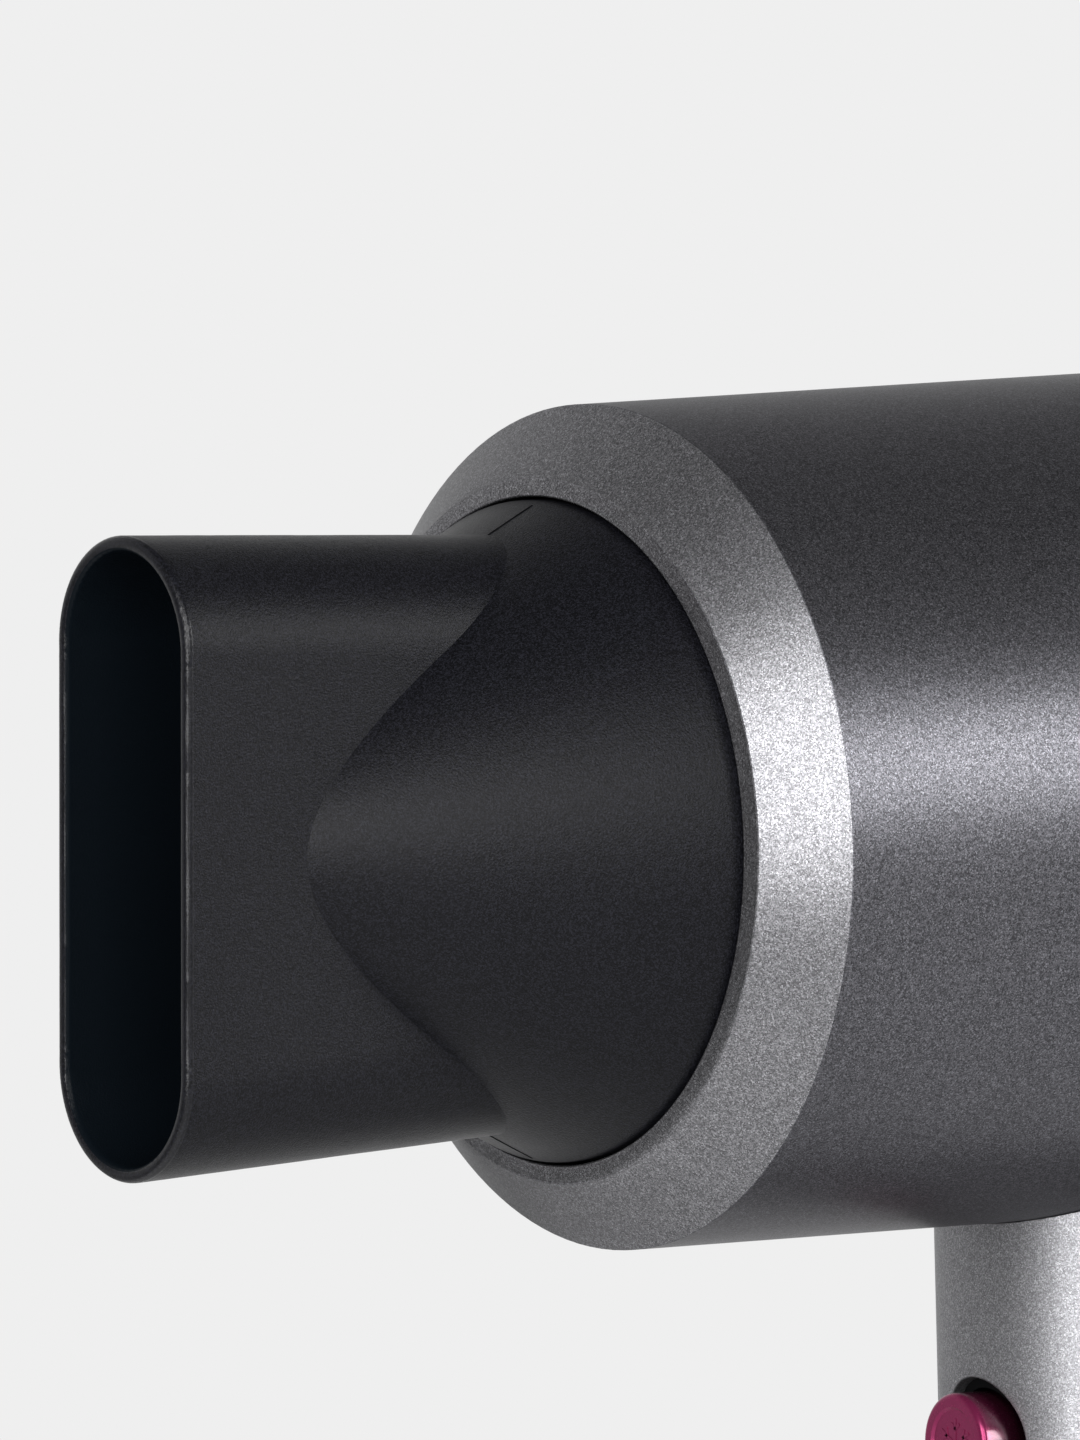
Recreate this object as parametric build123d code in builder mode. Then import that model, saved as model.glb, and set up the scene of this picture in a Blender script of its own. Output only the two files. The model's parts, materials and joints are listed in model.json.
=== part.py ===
from build123d import *
from math import atan, cos, radians, sin, sqrt
import os

os.makedirs("parts", exist_ok=True)

# Hair dryer with a slot nozzle, in millimetres.
# X points the way the air blows, Z up the handle, and the XZ plane is the mirror plane.
# The origin is the middle of the grip, on the handle's axis.

# Clearances, each on one side
FIT = 0.10  # parts located in each other
GAP = 0.30  # parts that pass clear of each other
RUN = 0.03  # turning and sliding fits

# Barrel
BARREL_R = 40.0
BARREL_WALL = 2.2
GRIP_TOP = 60.0  # underside of the barrel above the middle of the grip
FRONT_X = 61.0  # front edge of the barrel, ahead of the handle's axis
REAR_X = -58.0
SEAM = 0.3  # chamfer or groove that makes the fine line between visible shells

# Front ring, forward of the barrel's front edge and inwards from the barrel's outside
RIDGE_X = 6.1
RIDGE_STEP = 6.55
LIP_RISE = 0.6  # lip ahead of the ridge
LIP_STEP = 1.85  # lip inside the ridge
RING_EDGE = 0.2  # rounding of the ridge and the lip
RING_SPIGOT = 4.0

# Nozzle, forward of the barrel's front edge
RIM_PROUD = 0.6  # rim ahead of the ring's lip
RIM_ROUND = 2.0
CONE_MID_X = 24.0
CONE_MID_SHARE = 0.716  # cone's radius there, as a share of the rim's
CONE_END_X = 44.0
CONE_END_SHARE = 0.278
NOZZLE_WALL = 1.5
TUBE_ROOT_X = 2.0
TIP_X = 55.6
TIP_INSET = 0.8  # top and bottom of the tip inside the rim
TIP_WIDTH = 21.2
TUBE_FLARE = 0.1  # growth of the slot tube's height for each mm forward
TUBE_SWELL = 0.02  # growth of its width for each mm forward
SHOULDER_RUN = 4.0  # length of the slope inside the shoulder
SPIGOT_STEP = 3.7  # spigot inside the rim
SPIGOT_WALL = 2.4
SPIGOT_LENGTH = 6.6
SEAL_WIDTH = 3.0
SEAL_DEPTH = 0.9
SEAL_PROUD = 1.3
SEAL_EDGE = 0.5

# Outlet and heater
COLLAR_FLANGE = 3.0
COLLAR_WALL = 2.2
COLLAR_LENGTH = 18.0
GRILLE_DEPTH = 9.0  # grille's seat behind the collar's front face
GRILLE_LEDGE = 2.0  # width of that seat, from the collar's bore to the mica tube
GRILLE_THICK = 2.0
GRILLE_BAR = 1.2
GRILLE_SPOKES = 8
GRILLE_RINGS = (0.68, 0.4)  # inner rings, as shares of the collar's bore
GRILLE_HUB = 0.13
MICA_WALL = 0.5
MICA_THICK = 0.8
REAR_EAR = 10.0  # full-width ends of the heater cross
FRONT_EAR = 7.0
EAR_GAP = 1.0
WINDING_STEP = 4.9  # windings inside the mica tube
COIL_TURNS = 4
WIRE_R = 0.45
NOTCH_DEPTH = 1.4
RIVET_R = 1.8
RIVET_HEAD = 0.8
RIVET_LOW = -15.0  # rivet heights from the barrel's axis
RIVET_HIGH = 9.0
LEAD_R = 0.8
LEAD_BEND = 3.0
LEAD_SPREAD = 4.6  # leads to the left and right of the mirror plane, on the board
LEAD_SLOT = 6.0
THERMOSTAT_LENGTH = 5.0
THERMOSTAT_WIDTH = 11.0
THERMOSTAT_Y = 10.0
FUSE_R = 1.5
FUSE_LENGTH = 8.0
FUSE_WIRE_R = 0.4
FUSE_WIRE = 2.5  # wire at each end of the fuse

# Fan and motor
DUCT_WALL = 2.0
DUCT_SETBACK = 2.0  # duct's rear edge ahead of the inlet cap's spigot
DUCT_THROAT = 6.0  # start of the duct's taper ahead of the motor's rear face
DUCT_SOCKET = 6.0  # length of the mica tube's socket
DUCT_LEDGE = 1.0
VANES = 7
VANE_THICK = 1.4
CUP_WALL = 1.5
CUP_HOLE_R = 4.5
CUP_FLOOR = 1.6
MOTOR_R = 13.9
MOTOR_LENGTH = 32.0
MOTOR_WALL = 1.0
MOTOR_SETBACK = 5.0  # motor's rear face ahead of the fan
END_BELL = 2.0
BELL_PLUG = 3.0
BUSH_R = 2.6
BUSH_BOSS_R = 3.8
BUSH_BOSS = 1.4
BUSH_LENGTH = 4.0
MAGNET_THICK = 3.2
AIR_GAP = 0.6
BRUSH_SETBACK = 6.0  # middle of the commutator behind the motor's front face
BRUSH_R = 3.6
BRUSH_LENGTH = 3.4
BRUSH_WIDTH = 3.0
HOLDER_WALL = 1.0
CORE_SETBACK = 6.0
CORE_LENGTH = 13.0
CORE_RIM = 1.4
CORE_HUB_R = 3.2
CORE_SLOT = 1.6
ARM_WIDTH = 2.6
WINDING_THICK = 1.1
POLES = 5
DIODE_LENGTH = 5.0
DIODE_WIDTH = 2.8
DIODE_HEIGHT = 2.2
DIODE_Y = 6.0
DIODE_Z = 3.2
SHAFT_R = 1.15
FAN_SETBACK = 3.0  # fan's rear face ahead of the duct's rear edge
FAN_LENGTH = 14.0
FAN_HUB_R = 14.0
FAN_HUB_WALL = 1.5
FAN_NOSE = 3.0
FAN_BOSS_R = 3.4
FAN_BLADES = 9
FAN_GAP = 0.7
ROOT_PITCH = 30  # blade angles in degrees
TIP_PITCH = 52
BLADE_THICK = 1.3

# Rear inlet
CAP_LENGTH = 21.0
CAP_ROUND = 7.0
CAP_WALL = 2.4
CAP_SPIGOT = 6.0
SPIGOT_RING = 1.6  # wall of the cap's spigot
INLET_RINGS = 4
INLET_FIRST_R = 9.0
INLET_SLOT = 3.6
INLET_PITCH = 6.6
INLET_RIBS = 6
INLET_RIB = 3.0
FILTER_THICK = 2.0
FILTER_RIM = 4.0
FILTER_STAY = 1.6
MESH_THICK = 0.6
MESH_PITCH = 4.8
MESH_BAR = 0.6
LEDGE_THICK = 1.2

# Handle
HANDLE_TOP_R = 17.8  # at the underside of the barrel
HANDLE_END_R = 14.9
HANDLE_LENGTH = 118.0
HANDLE_WALL = 2.2
NECK_DROP = 11.0
NECK_STEP = 2.0  # neck inside the handle's inner wall
NECK_WALL = 2.0
NECK_FLANGE = 2.0
BOSS_R = 3.6
BOSS_PIN_R = 2.6
SCREW_R = 1.25
SCREW_HEAD_R = 2.7
SCREW_HEAD = 1.9
SCREW_LENGTH = 20.0
SCREW_SINK = 6.0
BOSS_LIFT = 5.2  # lower boss above the cord clamp
DRIVE_LENGTH = 3.2  # cross recess of the screw heads
DRIVE_WIDTH = 0.8
DRIVE_DEPTH = 1.0

# Switches
BOARD_THICK = 1.6
BOARD_WIDTH = 14.0
BOARD_MARGIN = 1.0
PANEL_WIDTH = 11.6
PANEL_CORNER = 3.0
PANEL_PROUD = 0.4
PANEL_RIM = 1.0  # rim behind the handle's wall, all round the panel
SLIDER_SHARE = 0.243  # slot centres from the middle of the panel, as a share of its length
SLIDER_TRAVEL = 8.0
KNOB_WIDTH = 8.4
KNOB_HEIGHT = 11.0
KNOB_CORNER = 2.0
KNOB_PROUD = 2.6
KNOB_TAPER = 8  # degrees
GROOVE_PITCH = 2.4
GROOVE_WIDTH = 1.0
GROOVE_DEPTH = 0.7
STEM_WIDTH = 3.0
STEM_HEIGHT = 4.0
STEM_REACH = 9.0
CLIP_WIDTH = 6.4
CLIP_HEIGHT = 7.0
CLIP_THICK = 1.0
SWITCH_WIDTH = 9.0
SWITCH_HEIGHT = 18.0
SWITCH_CLEAR = 7.0  # top of the slide switches below the handle's surface
TROUGH_DEPTH = 4.0

# Cool button
BUTTON_DROP = 21.2  # button's axis below the barrel
BUTTON_R = 4.9
BUTTON_PROUD = 2.5
BUTTON_ROUND = 0.6
BUTTON_TRAVEL = 2.0
DISH_RIM = 1.3
DISH_DEPTH = 0.25
BUTTON_FLANGE = 0.85
FLANGE_THICK = 1.4
BUTTON_STEM_R = 1.4
COLLET_WALL = 0.95  # wall of the ring round the button
COLLET_SINK = 1.5  # its face below the handle's surface
COLLET_RIM = 0.7
COLLET_RIM_THICK = 0.6
HOLE_ROUND = 0.4  # edge of the hole in the handle
SPRING_R = 2.7
SPRING_WIRE_R = 0.3
SPRING_TURNS = 3
SPRING_LENGTH = 3.8
COOL_SWITCH_WIDTH = 6.4
COOL_SWITCH_HEIGHT = 12.8

# Handle end
END_THICK = 6.0
END_ROUND = 3.3
PLUG_LENGTH = 6.0
PLUG_WALL = 1.6
BEAD = 0.7
BEAD_HEIGHT = 1.6
BEAD_RISE = 2.0
CORD_INSET = 9.9  # cord's axis inside the handle's edge
CORD_R = 3.4
GLAND_WALL = 1.8
GLAND_LIP = 1.0
GLAND_LIP_THICK = 2.4
GLAND_FLANGE = 0.7
GLAND_FLANGE_THICK = 1.6
EYE_INSET = 7.7
EYE_R = 3.4
EYE_RIM = 2.3
EYE_THICK = 5.0
EYE_DROP = 1.2
EYE_ROUND = 0.8
CLAMP_RISE = 11.0  # clamp above the bottom of the handle
CLAMP_SPREAD = 8.0  # clamp screws to the left and right of the mirror plane
CLAMP_THICK = 3.0
CLAMP_HEIGHT = 6.0
CLAMP_MARGIN = 2.5
CLAMP_BITE = 0.6
CLAMP_POST_R = 2.4
CLAMP_SCREW_R = 0.9
CLAMP_HEAD_R = 1.9
CLAMP_HEAD = 1.4
CLAMP_GRIP = 4.5  # length of the clamp screws in their posts

# Barrel and nozzle sizes that follow
BARREL_Z = GRIP_TOP + BARREL_R
BORE_R = BARREL_R - BARREL_WALL
RIDGE_R = BARREL_R - RIDGE_STEP
LIP_X = RIDGE_X + LIP_RISE
LIP_R = RIDGE_R - LIP_STEP
RIM_X = LIP_X + RIM_PROUD
RIM_R = LIP_R - GAP
TIP_HEIGHT = 2 * (RIM_R - TIP_INSET)
SPIGOT_R = RIM_R - SPIGOT_STEP
SEAL_R = SPIGOT_R + SEAL_PROUD
COLLAR_X = FRONT_X - RING_SPIGOT  # front face of the collar, the nozzle's seat
COLLAR_BORE_R = SEAL_R + RUN
GRILLE_X = COLLAR_X - GRILLE_DEPTH
MICA_R = COLLAR_BORE_R - GRILLE_LEDGE

# Stations along the barrel that follow, from the rear to the front
DUCT_REAR_X = REAR_X + CAP_SPIGOT + DUCT_SETBACK
FAN_REAR_X = DUCT_REAR_X + FAN_SETBACK
MOTOR_REAR_X = FAN_REAR_X + FAN_LENGTH + MOTOR_SETBACK
MOTOR_FRONT_X = MOTOR_REAR_X + MOTOR_LENGTH
RECTIFIER_X = MOTOR_FRONT_X + END_BELL
MICA_REAR_X = RECTIFIER_X
MICA_FRONT_X = GRILLE_X - GAP
EAR_REAR_X = RECTIFIER_X + BOARD_THICK + DIODE_HEIGHT + GAP
EAR_FRONT_X = MICA_FRONT_X - EAR_GAP
WINDING_X = MICA_REAR_X + REAR_EAR + 2 * EAR_GAP
WINDING_END_X = EAR_FRONT_X - FRONT_EAR - EAR_GAP
COIL_PITCH = (WINDING_END_X - WINDING_X) / (2 * COIL_TURNS + 1)
RIVET_X = (EAR_REAR_X + WINDING_X - EAR_GAP) / 2
FRONT_BAY_X = (WINDING_END_X + EAR_GAP + EAR_FRONT_X) / 2

# Heights along the handle that follow, from the top to the bottom
HANDLE_BOTTOM = GRIP_TOP - HANDLE_LENGTH
HANDLE_TAPER = (HANDLE_TOP_R - HANDLE_END_R) / HANDLE_LENGTH
HANDLE_SLOPE = atan(HANDLE_TAPER)
NECK_R = HANDLE_TOP_R - HANDLE_WALL - NECK_STEP
NECK_BOTTOM = GRIP_TOP - NECK_DROP
BUTTON_Z = GRIP_TOP - BUTTON_DROP
COLLET_R = BUTTON_R + GAP + COLLET_WALL
CLAMP_Z = HANDLE_BOTTOM + CLAMP_RISE
UPPER_BOSS_Z = BUTTON_Z - COLLET_R - COLLET_RIM - GAP - BOSS_R
LOWER_BOSS_Z = CLAMP_Z + CLAMP_HEIGHT / 2 + BOSS_LIFT + BOSS_R
PANEL_Z = (UPPER_BOSS_Z + LOWER_BOSS_Z) / 2
PANEL_HEIGHT = UPPER_BOSS_Z - LOWER_BOSS_Z - 2 * (BOSS_R + GAP + PANEL_RIM)
SLIDER_OFFSET = SLIDER_SHARE * PANEL_HEIGHT
CORD_X = HANDLE_END_R - CORD_INSET
EYE_X = EYE_INSET - HANDLE_END_R


def handle_r(z):
    """Outside radius of the tapered handle at height z."""
    return HANDLE_END_R + (z - HANDLE_BOTTOM) * HANDLE_TAPER


# Working planes. PROFILE holds (x, radius) outlines that turn about the barrel's axis.
BARREL_AXIS = Axis((0, 0, BARREL_Z), (1, 0, 0))
PROFILE = Plane(origin=(0, 0, BARREL_Z), x_dir=(1, 0, 0), z_dir=(0, -1, 0))
LEVEL = Plane(origin=(0, 0, BARREL_Z), x_dir=(1, 0, 0), z_dir=(0, 0, 1))
# The front line of the tapered handle: x to the left, y up the slope, z outwards
SWITCH_FACE = Plane(
    origin=(handle_r(PANEL_Z), 0, PANEL_Z),
    x_dir=(0, 1, 0),
    z_dir=(cos(HANDLE_SLOPE), 0, -sin(HANDLE_SLOPE)),
)


def across(x, z=BARREL_Z):
    """Plane square to X at x, with local x to the left and local y up."""
    return Plane(origin=(x, 0, z), x_dir=(0, 1, 0), z_dir=(1, 0, 0))


def turn(*points, mode=Mode.ADD):
    """Turn a closed outline of (x, radius) points about the barrel's axis."""
    with BuildSketch(PROFILE) as outline:
        with BuildLine():
            Polyline(*points, close=True)
        make_face()
    revolve(outline.sketch, axis=BARREL_AXIS, mode=mode)


def turned_tube(x0, x1, inner, outer, mode=Mode.ADD):
    """Turn a plain tube between two stations along the barrel's axis."""
    turn((x0, inner), (x1, inner), (x1, outer), (x0, outer), mode=mode)


def rod(plane, radius, length, points=((0, 0),), mode=Mode.ADD):
    """Extrude one or more equal discs from a plane."""
    with BuildSketch(plane) as discs:
        with Locations(*points):
            Circle(radius)
    extrude(discs.sketch, amount=length, mode=mode)


def block(plane, width, height, depth, points=((0, 0),), mode=Mode.ADD):
    """Extrude one or more equal rectangles from a plane."""
    with BuildSketch(plane) as faces:
        with Locations(*points):
            Rectangle(width, height)
    extrude(faces.sketch, amount=depth, mode=mode)


def handle_cone(inset, mode=Mode.ADD):
    """Turn the handle's tapered form, shrunk by inset, about the handle's axis."""
    top = BARREL_Z - sqrt(BARREL_R**2 - HANDLE_TOP_R**2) + HANDLE_WALL
    with BuildSketch(Plane.XZ) as outline:
        with BuildLine():
            Polyline(
                (0, HANDLE_BOTTOM),
                (handle_r(HANDLE_BOTTOM) - inset, HANDLE_BOTTOM),
                (handle_r(top) - inset, top),
                (0, top),
                close=True,
            )
        make_face()
    revolve(outline.sketch, axis=Axis.Z, mode=mode)


# Barrel and outlet

with BuildPart() as barrel_shell:
    with BuildSketch(across(REAR_X)):
        Circle(BARREL_R)
    extrude(amount=FRONT_X - REAR_X)
    ends = barrel_shell.edges().filter_by(GeomType.CIRCLE).sort_by(Axis.X)
    chamfer(ends[0], SEAM)
    chamfer(ends[-1], SEAM / 2)
    rod(Plane.XY.offset(NECK_BOTTOM), NECK_R, BARREL_Z - NECK_BOTTOM)
    rod(Plane.XY.offset(NECK_BOTTOM), handle_r(NECK_BOTTOM) - HANDLE_WALL - GAP, NECK_FLANGE)
    rod(across(REAR_X), BORE_R, FRONT_X - REAR_X, mode=Mode.SUBTRACT)
    rod(Plane.XY.offset(NECK_BOTTOM), NECK_R - NECK_WALL, BARREL_R, mode=Mode.SUBTRACT)

with BuildPart() as front_ring:
    turn(
        (FRONT_X, BARREL_R),
        (FRONT_X + RIDGE_X, RIDGE_R),
        (FRONT_X + LIP_X, LIP_R),
        (COLLAR_X, LIP_R),
        (COLLAR_X, BORE_R - FIT),
        (FRONT_X, BORE_R - FIT),
    )
    ridge = front_ring.edges().filter_by(GeomType.CIRCLE).sort_by(Axis.X)[-2:]
    fillet(ridge, RING_EDGE)

COLLAR_REAR_X = COLLAR_X - COLLAR_LENGTH
with BuildPart() as outlet_collar:
    turn(
        (COLLAR_X, COLLAR_BORE_R),
        (COLLAR_X, BORE_R - FIT),
        (COLLAR_X - COLLAR_FLANGE, BORE_R - FIT),
        (COLLAR_X - COLLAR_FLANGE, COLLAR_BORE_R + COLLAR_WALL),
        (COLLAR_REAR_X, COLLAR_BORE_R + COLLAR_WALL),
        (COLLAR_REAR_X, MICA_R + FIT),
        (GRILLE_X, MICA_R + FIT),
        (GRILLE_X, COLLAR_BORE_R),
    )

with BuildPart() as outlet_grille:
    with BuildSketch(across(GRILLE_X)):
        Circle(COLLAR_BORE_R - FIT)
        Circle(COLLAR_BORE_R - 2 * GRILLE_BAR, mode=Mode.SUBTRACT)
        for share in GRILLE_RINGS:
            Circle(share * COLLAR_BORE_R)
            Circle(share * COLLAR_BORE_R - GRILLE_BAR, mode=Mode.SUBTRACT)
        Circle(GRILLE_HUB * COLLAR_BORE_R)
        with PolarLocations(COLLAR_BORE_R / 2, GRILLE_SPOKES):
            Rectangle(COLLAR_BORE_R - GRILLE_BAR, GRILLE_BAR)
    extrude(amount=GRILLE_THICK)

# Nozzle: a convex cone that runs into a flared upright slot tube


def slot_section(x, inset):
    """Outline of the slot tube at x, inset from its outside."""
    height = TIP_HEIGHT - (TIP_X - x) * TUBE_FLARE - 2 * inset
    width = TIP_WIDTH - (TIP_X - x) * TUBE_SWELL - 2 * inset
    with BuildSketch(across(FRONT_X + x)) as section:
        SlotOverall(height, width, rotation=90)
    return section.sketch


def cone_arc(inset):
    """Three points on the cone's arc, moved inwards by inset along its radii."""
    points = [
        (RIM_X, RIM_R),
        (CONE_MID_X, CONE_MID_SHARE * RIM_R),
        (CONE_END_X, CONE_END_SHARE * RIM_R),
    ]
    arc = ThreePointArc(*points, mode=Mode.PRIVATE)
    centre = arc.arc_center
    moved = []
    for x, r in points:
        pull = (centre - Vector(x, r)).normalized() * inset
        moved.append((FRONT_X + x + pull.X, r + pull.Y))
    return moved


def cone_solid(inset, rear_points, rounding, mode=Mode.ADD):
    """Turn the cone, its rounded rim and the outline behind it, from the axis to the axis."""
    arc = cone_arc(inset)
    with BuildSketch(PROFILE) as outline:
        with BuildLine():
            ThreePointArc(*arc)
            Polyline(arc[2], (arc[2][0], 0), (rear_points[0][0], 0), *rear_points, arc[0])
        make_face()
        fillet(outline.vertices().sort_by_distance(arc[0])[0], rounding)
    revolve(outline.sketch, axis=BARREL_AXIS, mode=mode)


SEAT_X = COLLAR_X + GAP  # rear face of the nozzle's shoulder
SPIGOT_REAR_X = SEAT_X - SPIGOT_LENGTH
SEAL_X = SEAT_X - SPIGOT_LENGTH / 2 - SEAL_WIDTH / 2
GROOVE_R = SPIGOT_R - SEAL_DEPTH
BORE_SPIGOT_R = SPIGOT_R - SPIGOT_WALL
with BuildPart() as nozzle:
    cone_solid(
        0,
        [
            (SPIGOT_REAR_X, SPIGOT_R),
            (SEAL_X - GAP / 2, SPIGOT_R),
            (SEAL_X - GAP / 2, GROOVE_R),
            (SEAL_X + SEAL_WIDTH + GAP / 2, GROOVE_R),
            (SEAL_X + SEAL_WIDTH + GAP / 2, SPIGOT_R),
            (SEAT_X, SPIGOT_R),
            (SEAT_X, RIM_R),
        ],
        RIM_ROUND,
    )
    loft([slot_section(TUBE_ROOT_X, 0), slot_section(TIP_X, 0)])
    shoulder_x = SEAT_X + NOZZLE_WALL
    cone_solid(
        NOZZLE_WALL,
        [
            (SPIGOT_REAR_X - 1, BORE_SPIGOT_R),
            (shoulder_x, BORE_SPIGOT_R),
            (shoulder_x + SHOULDER_RUN, RIM_R - NOZZLE_WALL),
        ],
        RIM_ROUND - NOZZLE_WALL,
        mode=Mode.SUBTRACT,
    )
    inner_slot = [slot_section(x, NOZZLE_WALL) for x in (TUBE_ROOT_X - 1, TIP_X + 1)]
    loft(inner_slot, mode=Mode.SUBTRACT)
    tip_face = nozzle.faces().sort_by(Axis.X)[-1]
    fillet(tip_face.edges(), 0.45 * NOZZLE_WALL)

with BuildPart() as nozzle_seal:
    turned_tube(SEAL_X, SEAL_X + SEAL_WIDTH, GROOVE_R + RUN, SEAL_R)
    fillet(nozzle_seal.edges().filter_by(GeomType.CIRCLE).sort_by(SortBy.RADIUS)[-2:], SEAL_EDGE)

# Heater

with BuildPart() as mica_tube:
    turned_tube(MICA_REAR_X, MICA_FRONT_X, MICA_R - MICA_WALL, MICA_R)
    under_tube = Plane.XY.offset(BARREL_Z - MICA_R - 1)
    block(under_tube, LEAD_SLOT, LEAD_SLOT, MICA_R / 2, [(RIVET_X, 0)], mode=Mode.SUBTRACT)

EAR_R = MICA_R - MICA_WALL - GAP
WINDING_R = MICA_R - WINDING_STEP


def coil_corner(quarter, radius):
    """Corner of the square windings: its place on the cross after so many quarter turns."""
    angle = radians(90 * quarter)
    x = WINDING_X + quarter * COIL_PITCH / 4
    return Vector(x, radius * cos(angle), BARREL_Z + radius * sin(angle))


with BuildPart() as heater_cross:
    for plane in (PROFILE, LEVEL):
        with BuildSketch(plane) as plate:
            with Locations(((EAR_REAR_X + EAR_FRONT_X) / 2, 0)):
                Rectangle(EAR_FRONT_X - EAR_REAR_X, 2 * WINDING_R)
            with Locations((RIVET_X, 0)):
                Rectangle(WINDING_X - EAR_GAP - EAR_REAR_X, 2 * EAR_R)
            with Locations((FRONT_BAY_X, 0)):
                Rectangle(FRONT_EAR, 2 * EAR_R)
        extrude(plate.sketch, amount=MICA_THICK / 2, both=True)
    for quarter in range(8 * COIL_TURNS + 4):
        place = Location(coil_corner(quarter, WINDING_R), (90 * quarter, 0, 0))
        with Locations(place):
            Box(3 * WIRE_R, 2 * NOTCH_DEPTH, 3 * MICA_THICK, mode=Mode.SUBTRACT)


def coil_run(start, end):
    """One straight run of heater ribbon from corner to corner, mitred where it turns."""
    middle = (start + end) / 2
    along = (end - start).normalized()
    with BuildSketch(Plane(origin=middle, x_dir=(1, 0, 0), z_dir=along)) as section:
        Rectangle(2 * WIRE_R, 2 * WIRE_R)
    extrude(section.sketch, amount=(end - start).length / 2 + 0.9 * WIRE_R, both=True)


def heater_coil(first):
    """Wind one heater circuit from quarter turn first, corner by corner."""
    radius = WINDING_R - NOTCH_DEPTH + 3 * WIRE_R
    for quarter in range(first, first + 4 * COIL_TURNS):
        coil_run(coil_corner(quarter, radius), coil_corner(quarter + 1, radius))


with BuildPart() as heater_coil_high:
    heater_coil(0)

with BuildPart() as heater_coil_low:
    heater_coil(4 * COIL_TURNS + 3)

with BuildPart() as heater_rivets:
    rivet_spots = [(RIVET_X, RIVET_LOW), (RIVET_X, RIVET_HIGH)]
    for side in (1, -1):
        rivet_face = PROFILE.offset(side * MICA_THICK / 2)
        rod(rivet_face, RIVET_R, side * RIVET_HEAD, rivet_spots)

with BuildPart() as thermostat:
    base = LEVEL.offset(MICA_THICK / 2)
    spot = [(FRONT_BAY_X, THERMOSTAT_Y)]
    block(base, THERMOSTAT_LENGTH, THERMOSTAT_WIDTH, 2.0, spot)
    block(base.offset(2.0), 0.7 * THERMOSTAT_LENGTH, 0.8 * THERMOSTAT_WIDTH, 1.2, spot)

with BuildPart() as thermal_fuse:
    fuse_z = BARREL_Z + MICA_THICK / 2 + FUSE_R
    fuse_y = -THERMOSTAT_Y + FUSE_LENGTH / 2
    fuse_axis = Plane(origin=(FRONT_BAY_X, fuse_y, fuse_z), x_dir=(1, 0, 0), z_dir=(0, -1, 0))
    rod(fuse_axis, FUSE_R, FUSE_LENGTH)
    rod(fuse_axis.offset(-FUSE_WIRE), FUSE_WIRE_R, FUSE_LENGTH + 2 * FUSE_WIRE)

# Fan duct, motor and fan

DUCT_R = BORE_R - GAP
SHROUD_R = DUCT_R - DUCT_WALL
SOCKET_R = MICA_R + FIT
CUP_R = MOTOR_R + FIT
CUP_REAR_X = MOTOR_REAR_X - CUP_FLOOR
CUP_FRONT_X = MOTOR_FRONT_X - 2
DUCT_THROAT_X = MOTOR_REAR_X + DUCT_THROAT
DUCT_NECK_X = MICA_REAR_X - DUCT_SOCKET
DUCT_FRONT_X = MICA_REAR_X + DUCT_SOCKET
with BuildPart() as motor_duct:
    turn(
        (DUCT_REAR_X, SHROUD_R),
        (DUCT_REAR_X, DUCT_R),
        (DUCT_THROAT_X, DUCT_R),
        (DUCT_NECK_X, SOCKET_R + DUCT_WALL),
        (DUCT_FRONT_X, SOCKET_R + DUCT_WALL),
        (DUCT_FRONT_X, SOCKET_R),
        (MICA_REAR_X, SOCKET_R),
        (MICA_REAR_X, SOCKET_R - DUCT_LEDGE),
        (DUCT_NECK_X, SOCKET_R - DUCT_LEDGE),
        (DUCT_THROAT_X, SHROUD_R),
    )
    turn(
        (CUP_REAR_X, CUP_HOLE_R),
        (CUP_REAR_X, CUP_R + CUP_WALL),
        (CUP_FRONT_X, CUP_R + CUP_WALL),
        (CUP_FRONT_X, CUP_R),
        (MOTOR_REAR_X, CUP_R),
        (MOTOR_REAR_X, CUP_HOLE_R),
    )
    vane_front_x = (DUCT_THROAT_X + DUCT_NECK_X) / 2
    vane_tip_r = (SHROUD_R + SOCKET_R + DUCT_WALL / 2) / 2
    for vane in range(VANES):
        with BuildSketch(PROFILE.rotated((360 * vane / VANES, 0, 0))) as blade:
            with BuildLine():
                Polyline(
                    (MOTOR_REAR_X, CUP_R + CUP_WALL / 2),
                    (MOTOR_REAR_X, SHROUD_R + DUCT_WALL / 2),
                    (DUCT_THROAT_X, SHROUD_R + DUCT_WALL / 2),
                    (vane_front_x, vane_tip_r),
                    (vane_front_x, CUP_R + CUP_WALL / 2),
                    close=True,
                )
            make_face()
        extrude(blade.sketch, amount=VANE_THICK / 2, both=True)

with BuildPart() as motor_can:
    turn(
        (MOTOR_REAR_X - BUSH_BOSS, BUSH_R + FIT),
        (MOTOR_REAR_X - BUSH_BOSS, BUSH_BOSS_R),
        (MOTOR_REAR_X, BUSH_BOSS_R),
        (MOTOR_REAR_X, MOTOR_R),
        (MOTOR_FRONT_X, MOTOR_R),
        (MOTOR_FRONT_X, MOTOR_R - MOTOR_WALL),
        (MOTOR_REAR_X + MOTOR_WALL, MOTOR_R - MOTOR_WALL),
        (MOTOR_REAR_X + MOTOR_WALL, BUSH_R + FIT),
    )

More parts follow.
